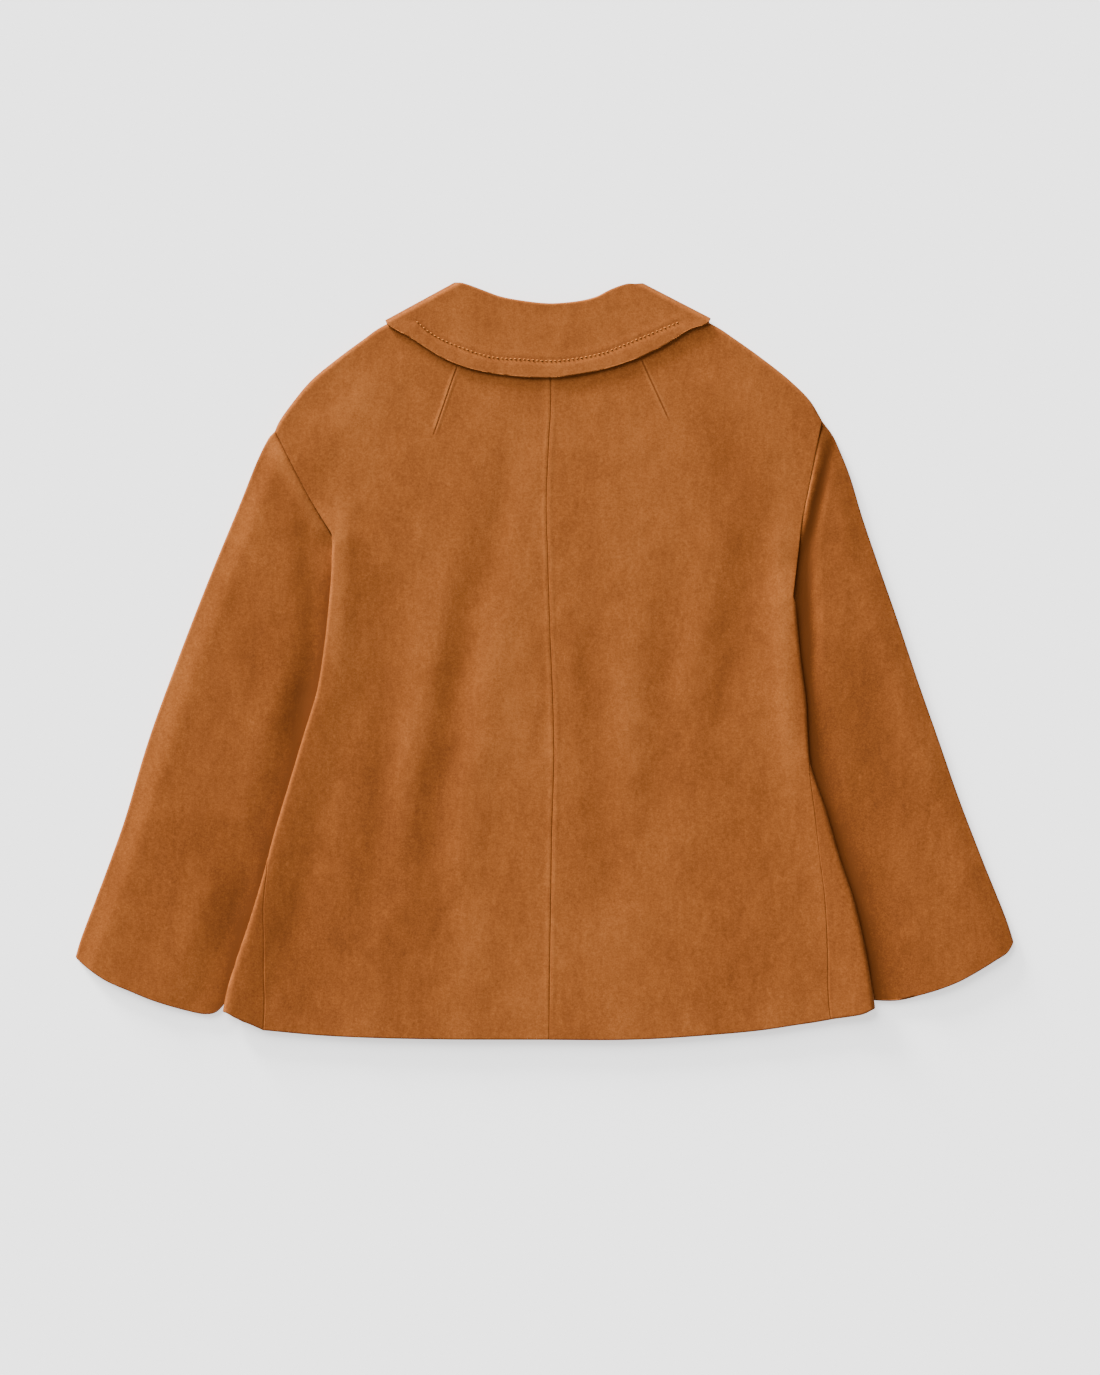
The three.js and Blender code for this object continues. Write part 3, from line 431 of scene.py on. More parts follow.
def roll_shoulder(side, shape, u, x, y, z, offset):
    """Height of a panel, rolled to the other panel along the shoulder and left open along the neck."""
    edge = shape(u, np.zeros_like(u))
    out = side["sign"] * x
    # Along the neck the distance counts as large, so that nothing is rolled there
    past_neck = 100 * smooth((u - SHOULDER_SHARE + 0.02) / 0.03)
    distance = np.hypot(out - edge[..., 0], y - edge[..., 1]) + past_neck
    return rolled_height(z, shoulder_middle(side, x, y) + offset, distance)


def back_surface(side):
    """Upper face of half the back: u runs in from the side seam, v down from the shoulder."""
    shoulder = spline(side["shoulder"][::-1])
    top = joined(shoulder, neck_edge(side, BACK_NECK_DROP, side["sign"] * NECK_X), SHOULDER_SHARE)
    roll_end = side["fold_start"] - 20
    rows = [(float(fold_centre(side, y)) + wrap, y) for y, wrap in side["side_seam"] if y > roll_end]
    rows += seam_rows(side, roll_end, lambda centre, wrap: centre + wrap)
    at_fold = (CENTRE_BACK[0][1] - side["fold_start"]) / BACK_LENGTH
    side_edge = joined(spline(side["armhole"]), spline(rows), at_fold)
    centre = spline([(side["sign"] * x + SHOWN_GAP, y) for x, y in CENTRE_BACK])
    shape = patch(top, spline(side["hem"][::-1]), side_edge, centre)

    def surface(u, v):
        flat = shape(u, v)
        y = flat[..., 1]
        x, z = body_point(side, flat[..., 0] - fold_centre(side, y), y)
        z = roll_shoulder(side, shape, u, x, y, z, SEAM_GAP)
        return np.stack([x, y, z], axis=-1)

    return surface


def front_surface(side):
    """Outer face of a front, from the side seam round the side fold to the closing, seen laid open."""
    lap = side["sign"] < 0
    end_out = side["sign"] * NECK_X - FRONT_LAP
    neck = neck_edge(side, FRONT_NECK_DROP, end_out)
    top = joined(spline(side["shoulder"][::-1]), neck, SHOULDER_SHARE)
    corner = side["front_armhole"][-1]
    under_y = side["underarm"][1]

    def past_seam(centre, wrap):
        gap = mix(SHOWN_GAP, HIDDEN_GAP, smooth((wrap + 1) / 4))
        return centre + SIDE_TURN - wrap - gap

    seam = seam_rows(side, under_y - 34, past_seam)
    at_underarm = (side["shoulder"][0][1] - FRONT_NECK_DROP - under_y) / FRONT_LENGTH
    below_arm = spline([corner, (corner[0], under_y - 12), *seam])
    side_edge = joined(spline(side["front_armhole"]), below_arm, at_underarm)
    hem_rows = [(float(fold_centre(side, y)) + past, y) for past, y in side["front_hem"]]
    neck_end = float(neck(1.0)[1])

    def centre(share):
        share = np.asarray(share, float)
        return np.stack([np.full_like(share, end_out), mix(neck_end, hem_rows[0][1], share)], axis=-1)

    shape = patch(top, spline(hem_rows[::-1]), side_edge, centre)

    def surface(u, v):
        flat = shape(u, v)
        y = flat[..., 1]
        past = fold_centre(side, y) + SIDE_TURN - flat[..., 0]
        x, z = body_point(side, past, y, front=True, lap=lap)
        z = roll_shoulder(side, shape, u, x, y, z, -SEAM_GAP / 2)
        return np.stack([x, y, z], axis=-1)

    return surface


def sleeve_surface(side):
    """Outer face of a sleeve's flattened tube: u runs round it from its outer edge, v down to the cuff."""
    armhole, cuff, under = side["armhole"], side["cuff"], side["underarm"]
    end = armhole[-1]
    bend = (mix(end[0], under[0], 0.6), mix(end[1], under[1], 0.5))
    top = joined(spline(armhole), spline([end, bend, under]), HEAD_SHARE)
    bottom = spline([*[(out + 1, y) for out, y in side["front_armhole"]][:-1], under])
    lowest = cuff[-1][1] + 12
    inner = [(out - tuck, y) for y, out, tuck in side["fold"] if lowest < y < under[1] - 20]
    outer_edge = spline([armhole[0], *side["sleeve_outer"]])
    inner_edge = spline([under, *inner, cuff[-1]])
    layers = [patch(edge, spline(cuff), outer_edge, inner_edge) for edge in (top, bottom)]
    radius = SLEEVE_HEIGHT / 2

    def surface(u, v):
        on_top = u < 0.5
        across = (1 - np.cos(math.pi * np.where(on_top, 2 * u, 2 - 2 * u))) / 2

        def place(share):
            return np.where(on_top[..., None], layers[0](share, v), layers[1](share, v))

        flat = place(across)
        edges = (np.linalg.norm(flat - place(np.full_like(u, side_end)), axis=-1) for side_end in (0.0, 1.0))
        half = radius * np.sqrt(np.maximum(0, 1 - np.clip(1 - np.minimum(*edges) / radius, 0, 1) ** 2))
        fall = mix(0.3, 0.56, smooth(v / 0.25))
        puff = SLEEVE_PUFF * smooth(across / 0.15) * (1 - smooth((across - fall) / 0.26))
        z = np.where(on_top, radius + half + puff, radius - half)
        return np.stack([side["sign"] * flat[..., 0], flat[..., 1], z], axis=-1)

    return surface


def collar_fold(side):
    """Line along which the collar folds under beside the neck: its two ends, and the way out across it."""
    first, last = (np.array([side["sign"] * out, y]) for out, y in side["collar_fold"])
    along = (last - first) / np.linalg.norm(last - first)
    outward = np.array([-along[1], along[0]]) * side["sign"]
    return first - COLLAR_ROLL * outward, last - COLLAR_ROLL * outward, outward


def opened(fold, x, y):
    """Place in the collar laid open of a point that is folded under."""
    first, _, outward = fold
    inside = (first - (x, y)) @ outward
    return np.array([x, y]) + outward * (2 * inside + math.pi * COLLAR_ROLL)


def folded_under(fold, flat):
    """Places of the laid open collar after its fold, and how far under each lies, from 0 to 1."""
    first, _, outward = fold
    past = (flat - first) @ outward
    turn = math.pi * COLLAR_ROLL
    angle = math.pi * np.clip(past / turn, 0, 1)
    place = np.where(past > 0, COLLAR_ROLL * np.sin(angle) - np.maximum(0, past - turn), past)
    return flat + outward * (place - past)[..., None], (1 - np.cos(angle)) / 2


def top_at(x, y):
    """Height of the back's upper face on either side of the neck's middle."""
    return np.where(x < NECK_X, back_top(SIDES["left"], x, y), back_top(SIDES["right"], x, y))


def collar_stations():
    """Rolled and free edge of the laid open collar, from one front end round the back to the other."""
    def half(side):
        fold = collar_fold(side)
        sign = side["sign"]
        rows = [[opened(fold, NECK_X + sign * out, y) for out, y in row] for row in COLLAR_FRONT]
        back = unit(fold[0] - fold[1])
        for share, shift, rise in COLLAR_TURN:
            turned = share * math.pi * COLLAR_ROLL * fold[2]
            rows.append([fold[0] + turned + shift * back + rise * fold[2], fold[1] + turned])
        return rows

    back = [[np.array(roll), np.array(fall)] for roll, fall in zip(BACK_ROLL, BACK_FALL)]
    return [*half(SIDES["left"]), *back, *half(SIDES["right"])[::-1]]


def collar_surface():
    """Upper face of the collar, rolled at the neck and folded under beside it, and its stations' number."""
    stations = collar_stations()
    roll_edge, free_edge = (spline([row[k] for row in stations], by_length=False) for k in (0, 1))
    folds = [collar_fold(SIDES[name]) for name in ("left", "right")]

    def surface(u, v):
        rolled, free = roll_edge(u), free_edge(u)
        flat = mix(rolled, free, v[..., None])
        turned = [folded_under(fold, flat) for fold in folds]
        place = np.where((u < 0.5)[..., None], turned[0][0], turned[1][0])
        under = np.where(u < 0.5, turned[0][1], turned[1][1])
        top = top_at(place[..., 0], place[..., 1]) + LAYER
        middle = mix(top - ROLL_RADIUS, ROLL_RADIUS, under)
        distance = v * np.linalg.norm(free - rolled, axis=-1)
        return np.dstack([place, rolled_height(mix(top, 0, under), middle, distance)])

    return surface, len(stations)


def stand_stations(side):
    """Points of the stand's seam and roll, from the centre back round to the centre front."""
    sign = side["sign"]

    def place(row, under, bulge=0.0):
        seam_out, roll_out, roll_y = row
        x = NECK_X + sign * (seam_out + bulge)
        roll_x = NECK_X + sign * (roll_out + bulge)
        drop, gap = (BACK_NECK_DROP, BACK_STAND_GAP) if under < 0.5 else (FRONT_NECK_DROP, FRONT_STAND_GAP)
        return [x, float(neck_y(side, x, drop)) + gap, roll_x, roll_y, under]

    corner = STAND_FRONT[0]
    seam_y = place(corner, 0)[1]
    turned = [place(corner, (1 - math.cos(angle)) / 2, STAND_TURN * math.sin(angle)) for angle in RIM_ANGLES]
    front = []
    for i in range(2 * len(STAND_FRONT) - 1):
        low, high = STAND_FRONT[i // 2], STAND_FRONT[(i + 1) // 2]
        front.append(place([(a + b) / 2 for a, b in zip(low, high)], 1))
    for row in [*turned, front[0]]:
        row[1] = seam_y
    return [*[place(row, 0) for row in STAND_BACK], *turned, *front]


def stand_surface():
    """Inner face of the stand, from its seam at the neck to the collar's roll, and its stations' number."""
    rows = np.array([*stand_stations(SIDES["left"])[::-1], *stand_stations(SIDES["right"])[1:]])
    run = np.linspace(0, 1, len(rows))
    depth = 2 * ROLL_RADIUS + SEAM_GAP

    def surface(u, v):
        seam_x, seam_y, roll_x, roll_y, under = (np.interp(u, run, rows[:, k]) for k in range(5))
        x, y = mix(seam_x, roll_x, v), mix(seam_y, roll_y, v)
        top = top_at(x, y) + LAYER
        middle = mix(top - ROLL_RADIUS - SEAM_GAP, ROLL_RADIUS + SEAM_GAP, under)
        distance = (1 - v) * np.hypot(roll_x - seam_x, roll_y - seam_y)
        return np.stack([x, y, rolled_height(mix(top - depth, depth, under), middle, distance)], axis=-1)

    return surface, len(rows)


def unit(vectors):
    """The vectors at length 1."""
    return vectors / np.maximum(np.linalg.norm(vectors, axis=-1, keepdims=True), 1e-9)


def stretches(*rows):
    """Shares from 0 to 1 in stretches, each given by its end and its number of steps."""
    shares = [0.0]
    for end, steps in rows:
        shares += list(np.linspace(shares[-1], end, steps + 1)[1:])
    return np.array(shares)


def grid_normals(points, flip, ring):
    """Normals of a grid of points. The last column of a ring joins its first."""
    wide = np.concatenate([points[:, -1:], points, points[:, :1]], axis=1) if ring else points
    along = np.gradient(wide, axis=1)
    if ring:
        along = along[:, 1:-1]
    return unit(np.cross(along, np.gradient(points, axis=0))) * (-1 if flip else 1)


def edge_ways(points, out, ring, edges):
    """Ways along the surface and out over its cut edges, as long as each edge is round."""
    ways = np.zeros_like(points)
    ways[-1] += edges[2] * unit(points[-1] - points[-2])
    if not ring:
        ways[:, 0] += edges[0] * unit(points[:, 0] - points[:, 1])
        ways[:, -1] += edges[1] * unit(points[:, -1] - points[:, -2])
    ways -= np.sum(ways * out, axis=-1, keepdims=True) * out
    size = np.linalg.norm(ways, axis=-1, keepdims=True)
    return unit(ways) * np.minimum(size, 1)


def grid_faces(ids, flip, ring):
    """Faces with four corners of a grid of point numbers."""
    faces = np.stack([ids[:-1, :-1], ids[:-1, 1:], ids[1:, 1:], ids[1:, :-1]], axis=-1).reshape(-1, 4)
    if ring:
        close = np.stack([ids[:-1, -1], ids[:-1, 0], ids[1:, 0], ids[1:, -1]], axis=-1).reshape(-1, 4)
        faces = np.vstack([faces, close])
    return faces[:, ::-1] if flip else faces


def border_loops(ids, ring):
    """Point numbers round the borders: the two ends of a ring, or the one border of a sheet."""
    if ring:
        return [ids[0], ids[-1][::-1]]
    return [np.concatenate([ids[0, :-1], ids[:-1, -1], ids[-1, :0:-1], ids[:0:-1, 0]])]


def run_lengths(points, axis):
    """Length run to each point of a grid along one of its axes."""
    steps = np.linalg.norm(np.diff(points, axis=axis), axis=-1)
    return np.insert(np.cumsum(steps, axis=axis), 0, 0, axis=axis)


def shell(name, surface, us, vs, flip, relief, ring=False, edges=(1, 1, 1)):
    """A thin closed shell: the surface, its copy one wall below, and round cut edges.

    edges says how round the edges are at the first column, the last column and the last row.
    """
    wall = settings().wall / MM
    radius = wall / 2
    u, v = np.meshgrid(us, vs)
    p = surface(u, v)
    out = grid_normals(p, flip, ring)
    height, tone = relief(p, out)
    p = p + out * height[..., None]
    out = grid_normals(p, flip, ring)
    ways = edge_ways(p, out, ring, edges)
    p = p - ways * radius
    flat_p, flat_out, flat_ways = (grid.reshape(-1, 3) for grid in (p, out, ways))

    count = u.size
    ids = np.arange(count).reshape(u.shape)
    outer = grid_faces(ids, flip, ring)
    points = [flat_p, flat_p - flat_out * wall]
    faces = [outer, outer[:, ::-1] + count]
    # The grid point that each vertex takes its tone and its lengths from
    sources = [ids.ravel(), ids.ravel()]
    total = 2 * count
    for loop in border_loops(ids, ring):
        centre = flat_p[loop] - flat_out[loop] * radius
        rings = [loop]
        for angle in RIM_ANGLES:
            raised = centre + flat_out[loop] * radius * math.cos(angle)
            points.append(raised + flat_ways[loop] * radius * math.sin(angle))
            sources.append(loop)
            rings.append(np.arange(total, total + len(loop)))
            total += len(loop)
        rings.append(loop + count)
        for a, b in zip(rings[:-1], rings[1:]):
            rim = np.stack([np.roll(a, -1), a, b, np.roll(b, -1)], axis=-1)
            faces.append(rim[:, ::-1] if flip else rim)

    source = np.concatenate(sources)
    uv = np.stack([run_lengths(p, 1).ravel(), run_lengths(p, 0).ravel()], axis=-1)
    verts = np.vstack(points) + (0, MIDDLE_SHIFT, 0)
    return add_mesh(name, verts, np.vstack(faces), uv[source], tone.ravel()[source])


def add_mesh(name, verts, faces, uv=None, tone=None):
    """A smooth mesh object from points in millimetres, with its lengths along the cloth and its tone, which
    holds the painted light and shade.
    """
    mesh = bpy.data.meshes.new(name)
    mesh.from_pydata((verts * MM).tolist(), [], [list(map(int, face)) for face in faces])
    mesh.polygons.foreach_set("use_smooth", [True] * len(mesh.polygons))
    if uv is not None:
        layer = mesh.uv_layers.new(name="cloth")
        corners = np.zeros(len(mesh.loops), int)
        mesh.loops.foreach_get("vertex_index", corners)
        layer.data.foreach_set("uv", (uv[corners] * MM).ravel())
        mesh.attributes.new("tone", "FLOAT", "POINT").data.foreach_set("value", tone)
    mesh.update()
    piece = bpy.data.objects.new(name, mesh)
    bpy.context.scene.collection.objects.link(piece)
    return piece


# Creases of the suede: both ends, height (a trough is negative) and half width
BACK_CREASES = [
    (-22, 190, -50, 78, -0.5, 12), (-80, -86, -96, -110, -0.5, 12), (-98, -150, -88, -200, -0.7, 16),
    (-48, 20, -54, -70, 1.1, 15), (-60, -100, -70, -170, 0.8, 14), (-86, 60, -106, -70, 1.0, 13),
    (-132, 47, -149, -190, -0.6, 17), (-222, -190, -205, -283, -0.7, 26), (42, 3, 58, -200, -0.4, 16),
    (115, 47, 98, -115, -0.4, 18), (188, 120, 160, -31, -0.5, 20), (158, 178, 162, 168, -0.5, 14),
    (-118, -60, -124, -140, 0.7, 13), (-18, 60, -24, -60, 0.6, 14), (80, 20, 78, -130, 0.6, 18),
    (140, 90, 128, -20, 0.6, 18), (-178, 120, -180, 10, 0.9, 9), (206, 100, 212, -60, 0.8, 8),
    (-150, 240, -196, 190, 0.6, 16), (160, 240, 205, 196, 0.6, 16), (-60, -230, -68, -320, 0.7, 20),
    (60, -240, 64, -322, 0.6, 22), (150, -190, 168, -310, -0.7, 20), (-150, -250, -158, -320, 0.5, 16),
]
SLEEVE_CREASES = [
    (-246, 160, -222, 112, -0.7, 10), (-261, 36, -228, -54, -1.1, 16), (-214, -14, -210, -70, -1.4, 14),
    (-282, -183, -268, -245, -0.9, 22), (-300, 60, -330, -40, 0.8, 16), (-262, 130, -240, 60, 0.7, 14),
    (-330, -150, -300, -270, 0.6, 20), (-345, -100, -372, -220, 0.7, 18), (-236, -30, -262, -180, 0.7, 14),
    (252, 190, 240, 144, -0.9, 4.5), (240, 144, 230, 98, -1.2, 5), (230, 98, 227, 36, -1.3, 7),
    (243, 196, 229, 118, 2.6, 5), (290, -31, 292, -115, -1.0, 18), (-240, 196, -199, 120, 3.6, 7),
    (262, 110, 256, 20, 0.7, 13), (285, 60, 330, -60, 0.6, 18), (262, -60, 300, -190, -0.7, 14),
    (330, -100, 372, -210, 0.6, 20), (300, -200, 320, -280, -0.7, 18), (250, -20, 262, -110, 0.5, 10),
]
# Soft patches of painted light and shade: middle, reach across and along, turn in degrees, and shade, which
# is painted shade below 0 and painted light above
PAINTED_LIGHT_AND_SHADE = [
    (-70, 50, 26, 130, 14, -0.25), (-86, -80, 22, 90, 8, -0.4), (-140, -60, 20, 120, 4, -0.35),
    (-190, -250, 70, 60, 0, -0.7), (-130, -200, 80, 110, 0, -0.45), (52, -100, 20, 110, -4, -0.1),
    (104, -40, 24, 90, 6, -0.15), (170, 40, 24, 90, 12, -0.3), (160, 174, 22, 18, 0, -0.25),
    (-40, 180, 50, 70, 10, 0.35), (60, 190, 60, 60, 0, 0.35), (-160, 230, 40, 40, 40, 0.5),
    (90, 110, 40, 60, 0, 0.25), (-30, -40, 24, 110, 4, 0.45), (-112, -30, 18, 110, 5, 0.3),
    (78, -60, 16, 110, 0, 0.3), (-180, 80, 10, 90, 0, 0.6), (214, 20, 9, 130, 0, 0.6),
    (190, -150, 40, 90, -12, -0.35), (0, -260, 70, 60, 0, 0.25), (140, -270, 50, 50, 0, -0.3),
    (-220, 150, 16, 70, 28, -0.2), (-238, 20, 20, 80, 20, -0.4), (-214, -40, 12, 60, 8, -1.0),
    (-275, -215, 34, 60, 12, -0.2), (-330, -20, 20, 120, 22, 0.3), (-330, -170, 60, 80, 20, -0.4),
    (247, 168, 3.6, 26, 14, -2.2), (236, 124, 4.6, 32, 13, -2.8), (229, 76, 6.5, 30, 5, -3.4),
    (229, 34, 6, 36, -2, -2.2), (262, 110, 14, 90, 12, -0.5), (292, -80, 22, 70, -6, -0.5),
    (258, -130, 12, 120, -14, -1.0), (330, -80, 22, 120, -20, 0.25), (340, -200, 60, 80, -20, -0.35),
    (290, 0, 40, 80, -12, -0.3), (3, 285, 60, 26, 0, 0.35), (-70, 290, 40, 30, 30, 0.25),
    (90, 296, 30, 26, -30, 0.2),
]


def lattice_noise(x, y, cell, seed):
    """Smooth noise from -1 to 1 over the plane, with its features about two cells wide."""
    values = np.random.default_rng(seed).uniform(-1, 1, (NOISE_CELLS + 1, NOISE_CELLS + 1))
    gx, gy = x / cell + NOISE_CELLS // 2, y / cell + NOISE_CELLS // 2
    i, j = np.floor(gx).astype(int), np.floor(gy).astype(int)
    tx, ty = smooth(gx - i), smooth(gy - j)
    i, j = i % NOISE_CELLS, j % NOISE_CELLS
    low = mix(values[i, j], values[i + 1, j], tx)
    high = mix(values[i, j + 1], values[i + 1, j + 1], tx)
    return mix(low, high, ty)


def facing_up(out):
    """Share to which a surface with these normals faces up, soft between its top and its sides."""
    return smooth((out[..., 2] - 0.55) / 0.3)


def painted_patch(x, y, row):
    """Painted light and shade of one soft round patch at a point: painted light where its shade is above 0,
    painted shade below.
    """
    mx, my, reach_x, reach_y, turn, shade = row
    c, s = math.cos(math.radians(turn)), math.sin(math.radians(turn))
    across = ((x - mx) * c - (y - my) * s) / reach_x
    along = ((x - mx) * s + (y - my) * c) / reach_y
    return shade * np.exp(-across ** 2 - along ** 2)


def suede_relief(rows, strength, seed, seam=None, beside=None):
    """Relief and tone of one piece: its creases on the top, fine unevenness, and painted light and shade.

    The tone holds painted shade in the creases' troughs, painted light on their ridges, soft patches of
    painted light and shade, and painted shade on steep faces. seam gives the centre back seam as length and
    place across, for the pressed ridges beside it and their painted highlight. beside is the side of the
    jacket whose folded body lies over a sleeve, with painted shade on the sleeve next to it.
    """
    line = seam(np.linspace(0, 1, 400)) if seam else None

    def relief(p, out):
        x, y = p[..., 0], p[..., 1]
        up = facing_up(out)
        folds = np.zeros_like(x) + sum(crease(x, y, row) for row in rows)
        slant = x + NAP_SLANT * y
        uneven = 0.34 * lattice_noise(slant, y * 0.45, 26, seed)
        uneven += 0.2 * lattice_noise(x, y * 0.7, 12, seed + 1)
        uneven += 0.07 * lattice_noise(x, y, 5, seed + 2)
        shade = sum(painted_patch(x, y, row) for row in PAINTED_LIGHT_AND_SHADE)
        if line is not None:
            aside = np.abs(x - np.interp(y, line[:, 0], line[:, 1]))
            ridge = np.exp(-((aside - RIDGE_ASIDE) / RIDGE_HALF) ** 2) * smooth((y + 325) / 30)
            folds = folds + RIDGE_HEIGHT * ridge
            # Painted highlight on the pressed ridges beside the seam, uneven along it, and a dark line in
            # the seam itself
            shade = shade + (0.35 + 0.5 * lattice_noise(x * 0, y, 12, seed + 5)) * ridge
            shade = shade - 0.7 * np.exp(-(aside / 0.9) ** 2)
        # Painted shade on the sleeve along the body's folded side, which lies over it
        if beside:
            past = np.maximum(0, beside["sign"] * x - fold_out(beside, y))
            hidden = smooth((beside["fold_start"] - 10 - y) / 40)
            shade = shade - hidden * (1.3 * np.exp(-(past / 5) ** 2) + 0.9 * np.exp(-(past / 20) ** 2))
        height = strength * up * (folds + uneven)
        # Painted shade in the creases' troughs and painted light on their ridges, the patches of painted
        # light and shade, and random unevenness
        tone = up * (0.25 * folds + shade) + 0.12 * lattice_noise(slant, y * 0.5, 30, seed + 3)
        # Painted shade on faces that tip steeply
        painted_steep_shade = smooth((1 - out[..., 2]) / 0.8) * smooth((out[..., 2] + 0.1) / 0.3)
        return height, tone - painted_steep_shade

    return relief


def connect(group, value, socket):
    """Give a socket a plain value, or link it to another node's result."""
    if isinstance(value, (int, float, tuple)):
        socket.default_value = value
    else:
        group.links.new(value, socket)


def math_node(group, operation, *values, clamp=False):
    """Result of a new math node."""
    node = group.nodes.new("ShaderNodeMath")
    node.operation = operation
    node.use_clamp = clamp
    for socket, value in zip(node.inputs, values):
        connect(group, value, socket)
    return node.outputs[0]


def vector_node(group, operation, *values):
    """Results of a new vector math node."""
    node = group.nodes.new("ShaderNodeVectorMath")
    node.operation = operation
    for socket, value in zip(node.inputs, values):
        connect(group, value, socket)
    return node.outputs


def ranged(group, value, low, high, to_low=0.0, to_high=1.0):
    """A value moved softly from one range to another."""
    node = group.nodes.new("ShaderNodeMapRange")
    node.interpolation_type = "SMOOTHSTEP"
    for name, number in (("From Min", low), ("From Max", high), ("To Min", to_low), ("To Max", to_high)):
        node.inputs[name].default_value = number
    group.links.new(value, node.inputs["Value"])
    return node.outputs[0]


def noise_node(group, place, scale, detail, roughness=0.5, stretch=(1, 1, 1), distortion=0.0):
    """Value from 0 to 1 of a noise, stretched along the axes."""
    mapping = group.nodes.new("ShaderNodeMapping")
    mapping.inputs["Scale"].default_value = stretch
    group.links.new(place, mapping.inputs["Vector"])
    node = group.nodes.new("ShaderNodeTexNoise")
    looks = {"Scale": scale, "Detail": detail, "Roughness": roughness, "Distortion": distortion}
    for name, number in looks.items():
        node.inputs[name].default_value = number
    group.links.new(mapping.outputs[0], node.inputs["Vector"])
    return node.outputs["Fac"]


def shader_group(name, inputs, outputs):
    """A new shader group with its inputs' values and its outputs' sockets."""
    group = bpy.data.node_groups.new(name, "ShaderNodeTree")
    for label, kind in inputs:
        group.interface.new_socket(label, in_out="INPUT", socket_type=kind)
    for label, kind in outputs:
        group.interface.new_socket(label, in_out="OUTPUT", socket_type=kind)
    return group, group.nodes.new("NodeGroupInput").outputs, group.nodes.new("NodeGroupOutput").inputs


def line_group():
    """Shader group: a sewn line between two flat points, as a fine groove with a soft ridge round it."""
    group, given, result = shader_group(
        "Sewn line",
        [("Place", "NodeSocketVector"), ("Start", "NodeSocketVector"), ("Along", "NodeSocketVector"),
         ("Length", "NodeSocketFloat")],
        [("Groove", "NodeSocketFloat"), ("Ridge", "NodeSocketFloat")])
    flat = vector_node(group, "MULTIPLY", given["Place"], (1, 1, 0))["Vector"]
    offset = vector_node(group, "SUBTRACT", flat, given["Start"])["Vector"]
    along = vector_node(group, "DOT_PRODUCT", offset, given["Along"])["Value"]
    across = vector_node(group, "CROSS_PRODUCT", offset, given["Along"])["Vector"]
    aside = vector_node(group, "LENGTH", across)["Value"]
    left = math_node(group, "SUBTRACT", given["Length"], along)
    begun, unended = ranged(group, along, -0.002, 0.002), ranged(group, left, -0.001, 0.012)
    inside = math_node(group, "MULTIPLY", begun, unended)
    groove = math_node(group, "MULTIPLY", ranged(group, aside, 0.0002, 0.0011, 1, 0), inside)
    ridge = math_node(group, "MULTIPLY", ranged(group, aside, 0.0006, 0.0042, 1, 0), inside)
    group.links.new(groove, result["Groove"])
    group.links.new(ridge, result["Ridge"])
    return group


def nap_group():
    """Shader group: brushed suede, from its place and its shade."""
    made = settings()
    group, given, result = shader_group(
        "Suede nap",
        [("Place", "NodeSocketVector"), ("Shade", "NodeSocketFloat"), ("Mottling", "NodeSocketFloat")],
        [("Color", "NodeSocketColor"), ("Roughness", "NodeSocketFloat"), ("Height", "NodeSocketFloat")])
    noise = {name: noise_node(group, given["Place"], *looks) for name, weight, *looks in NAP_LAYERS}
    total = 0.0
    for name, weight, *_ in NAP_LAYERS:
        part = math_node(group, "MULTIPLY", math_node(group, "SUBTRACT", noise[name], 0.5), weight)
        total = math_node(group, "ADD", total, part)
    total = math_node(group, "MULTIPLY", total, given["Mottling"])
    # The shade given holds the painted light and shade; the mottling is the nap's own unevenness
    shade = math_node(group, "MULTIPLY_ADD", given["Shade"], 0.26, total)
    ramp = group.nodes.new("ShaderNodeValToRGB")
    ramp.color_ramp.interpolation = "B_SPLINE"
    stops = ramp.color_ramp.elements
    stops.new(0.5)
    for stop, colour in zip(stops, (made.dark, made.middle, made.light)):
        stop.color = colour
    group.links.new(math_node(group, "ADD", shade, 0.5, clamp=True), ramp.inputs[0])
    group.links.new(ramp.outputs["Color"], result["Color"])
    group.links.new(ranged(group, noise["patches"], 0.3, 0.7, 0.86, 0.98), result["Roughness"])
    flecked = math_node(group, "MULTIPLY", noise["flecks"], 0.3)
    height = math_node(group, "MULTIPLY_ADD", noise["patches"], 0.5, flecked)
    group.links.new(math_node(group, "MULTIPLY_ADD", noise["grain"], 0.2, height), result["Height"])
    return group


def dart_line(tree, place, dart):
    """Groove and ridge of a dart, whose ends are given in millimetres."""
    start, end = dart
    length = math.dist(start, end)
    line = tree.nodes.new("ShaderNodeGroup")
    line.node_tree = bpy.data.node_groups.get("Sewn line") or line_group()
    line.inputs["Start"].default_value = (start[0] * MM, (start[1] + MIDDLE_SHIFT) * MM, 0)
    line.inputs["Along"].default_value = ((end[0] - start[0]) / length, (end[1] - start[1]) / length, 0)
    line.inputs["Length"].default_value = length * MM
    tree.links.new(place, line.inputs["Place"])
    return line.outputs["Groove"], line.outputs["Ridge"]


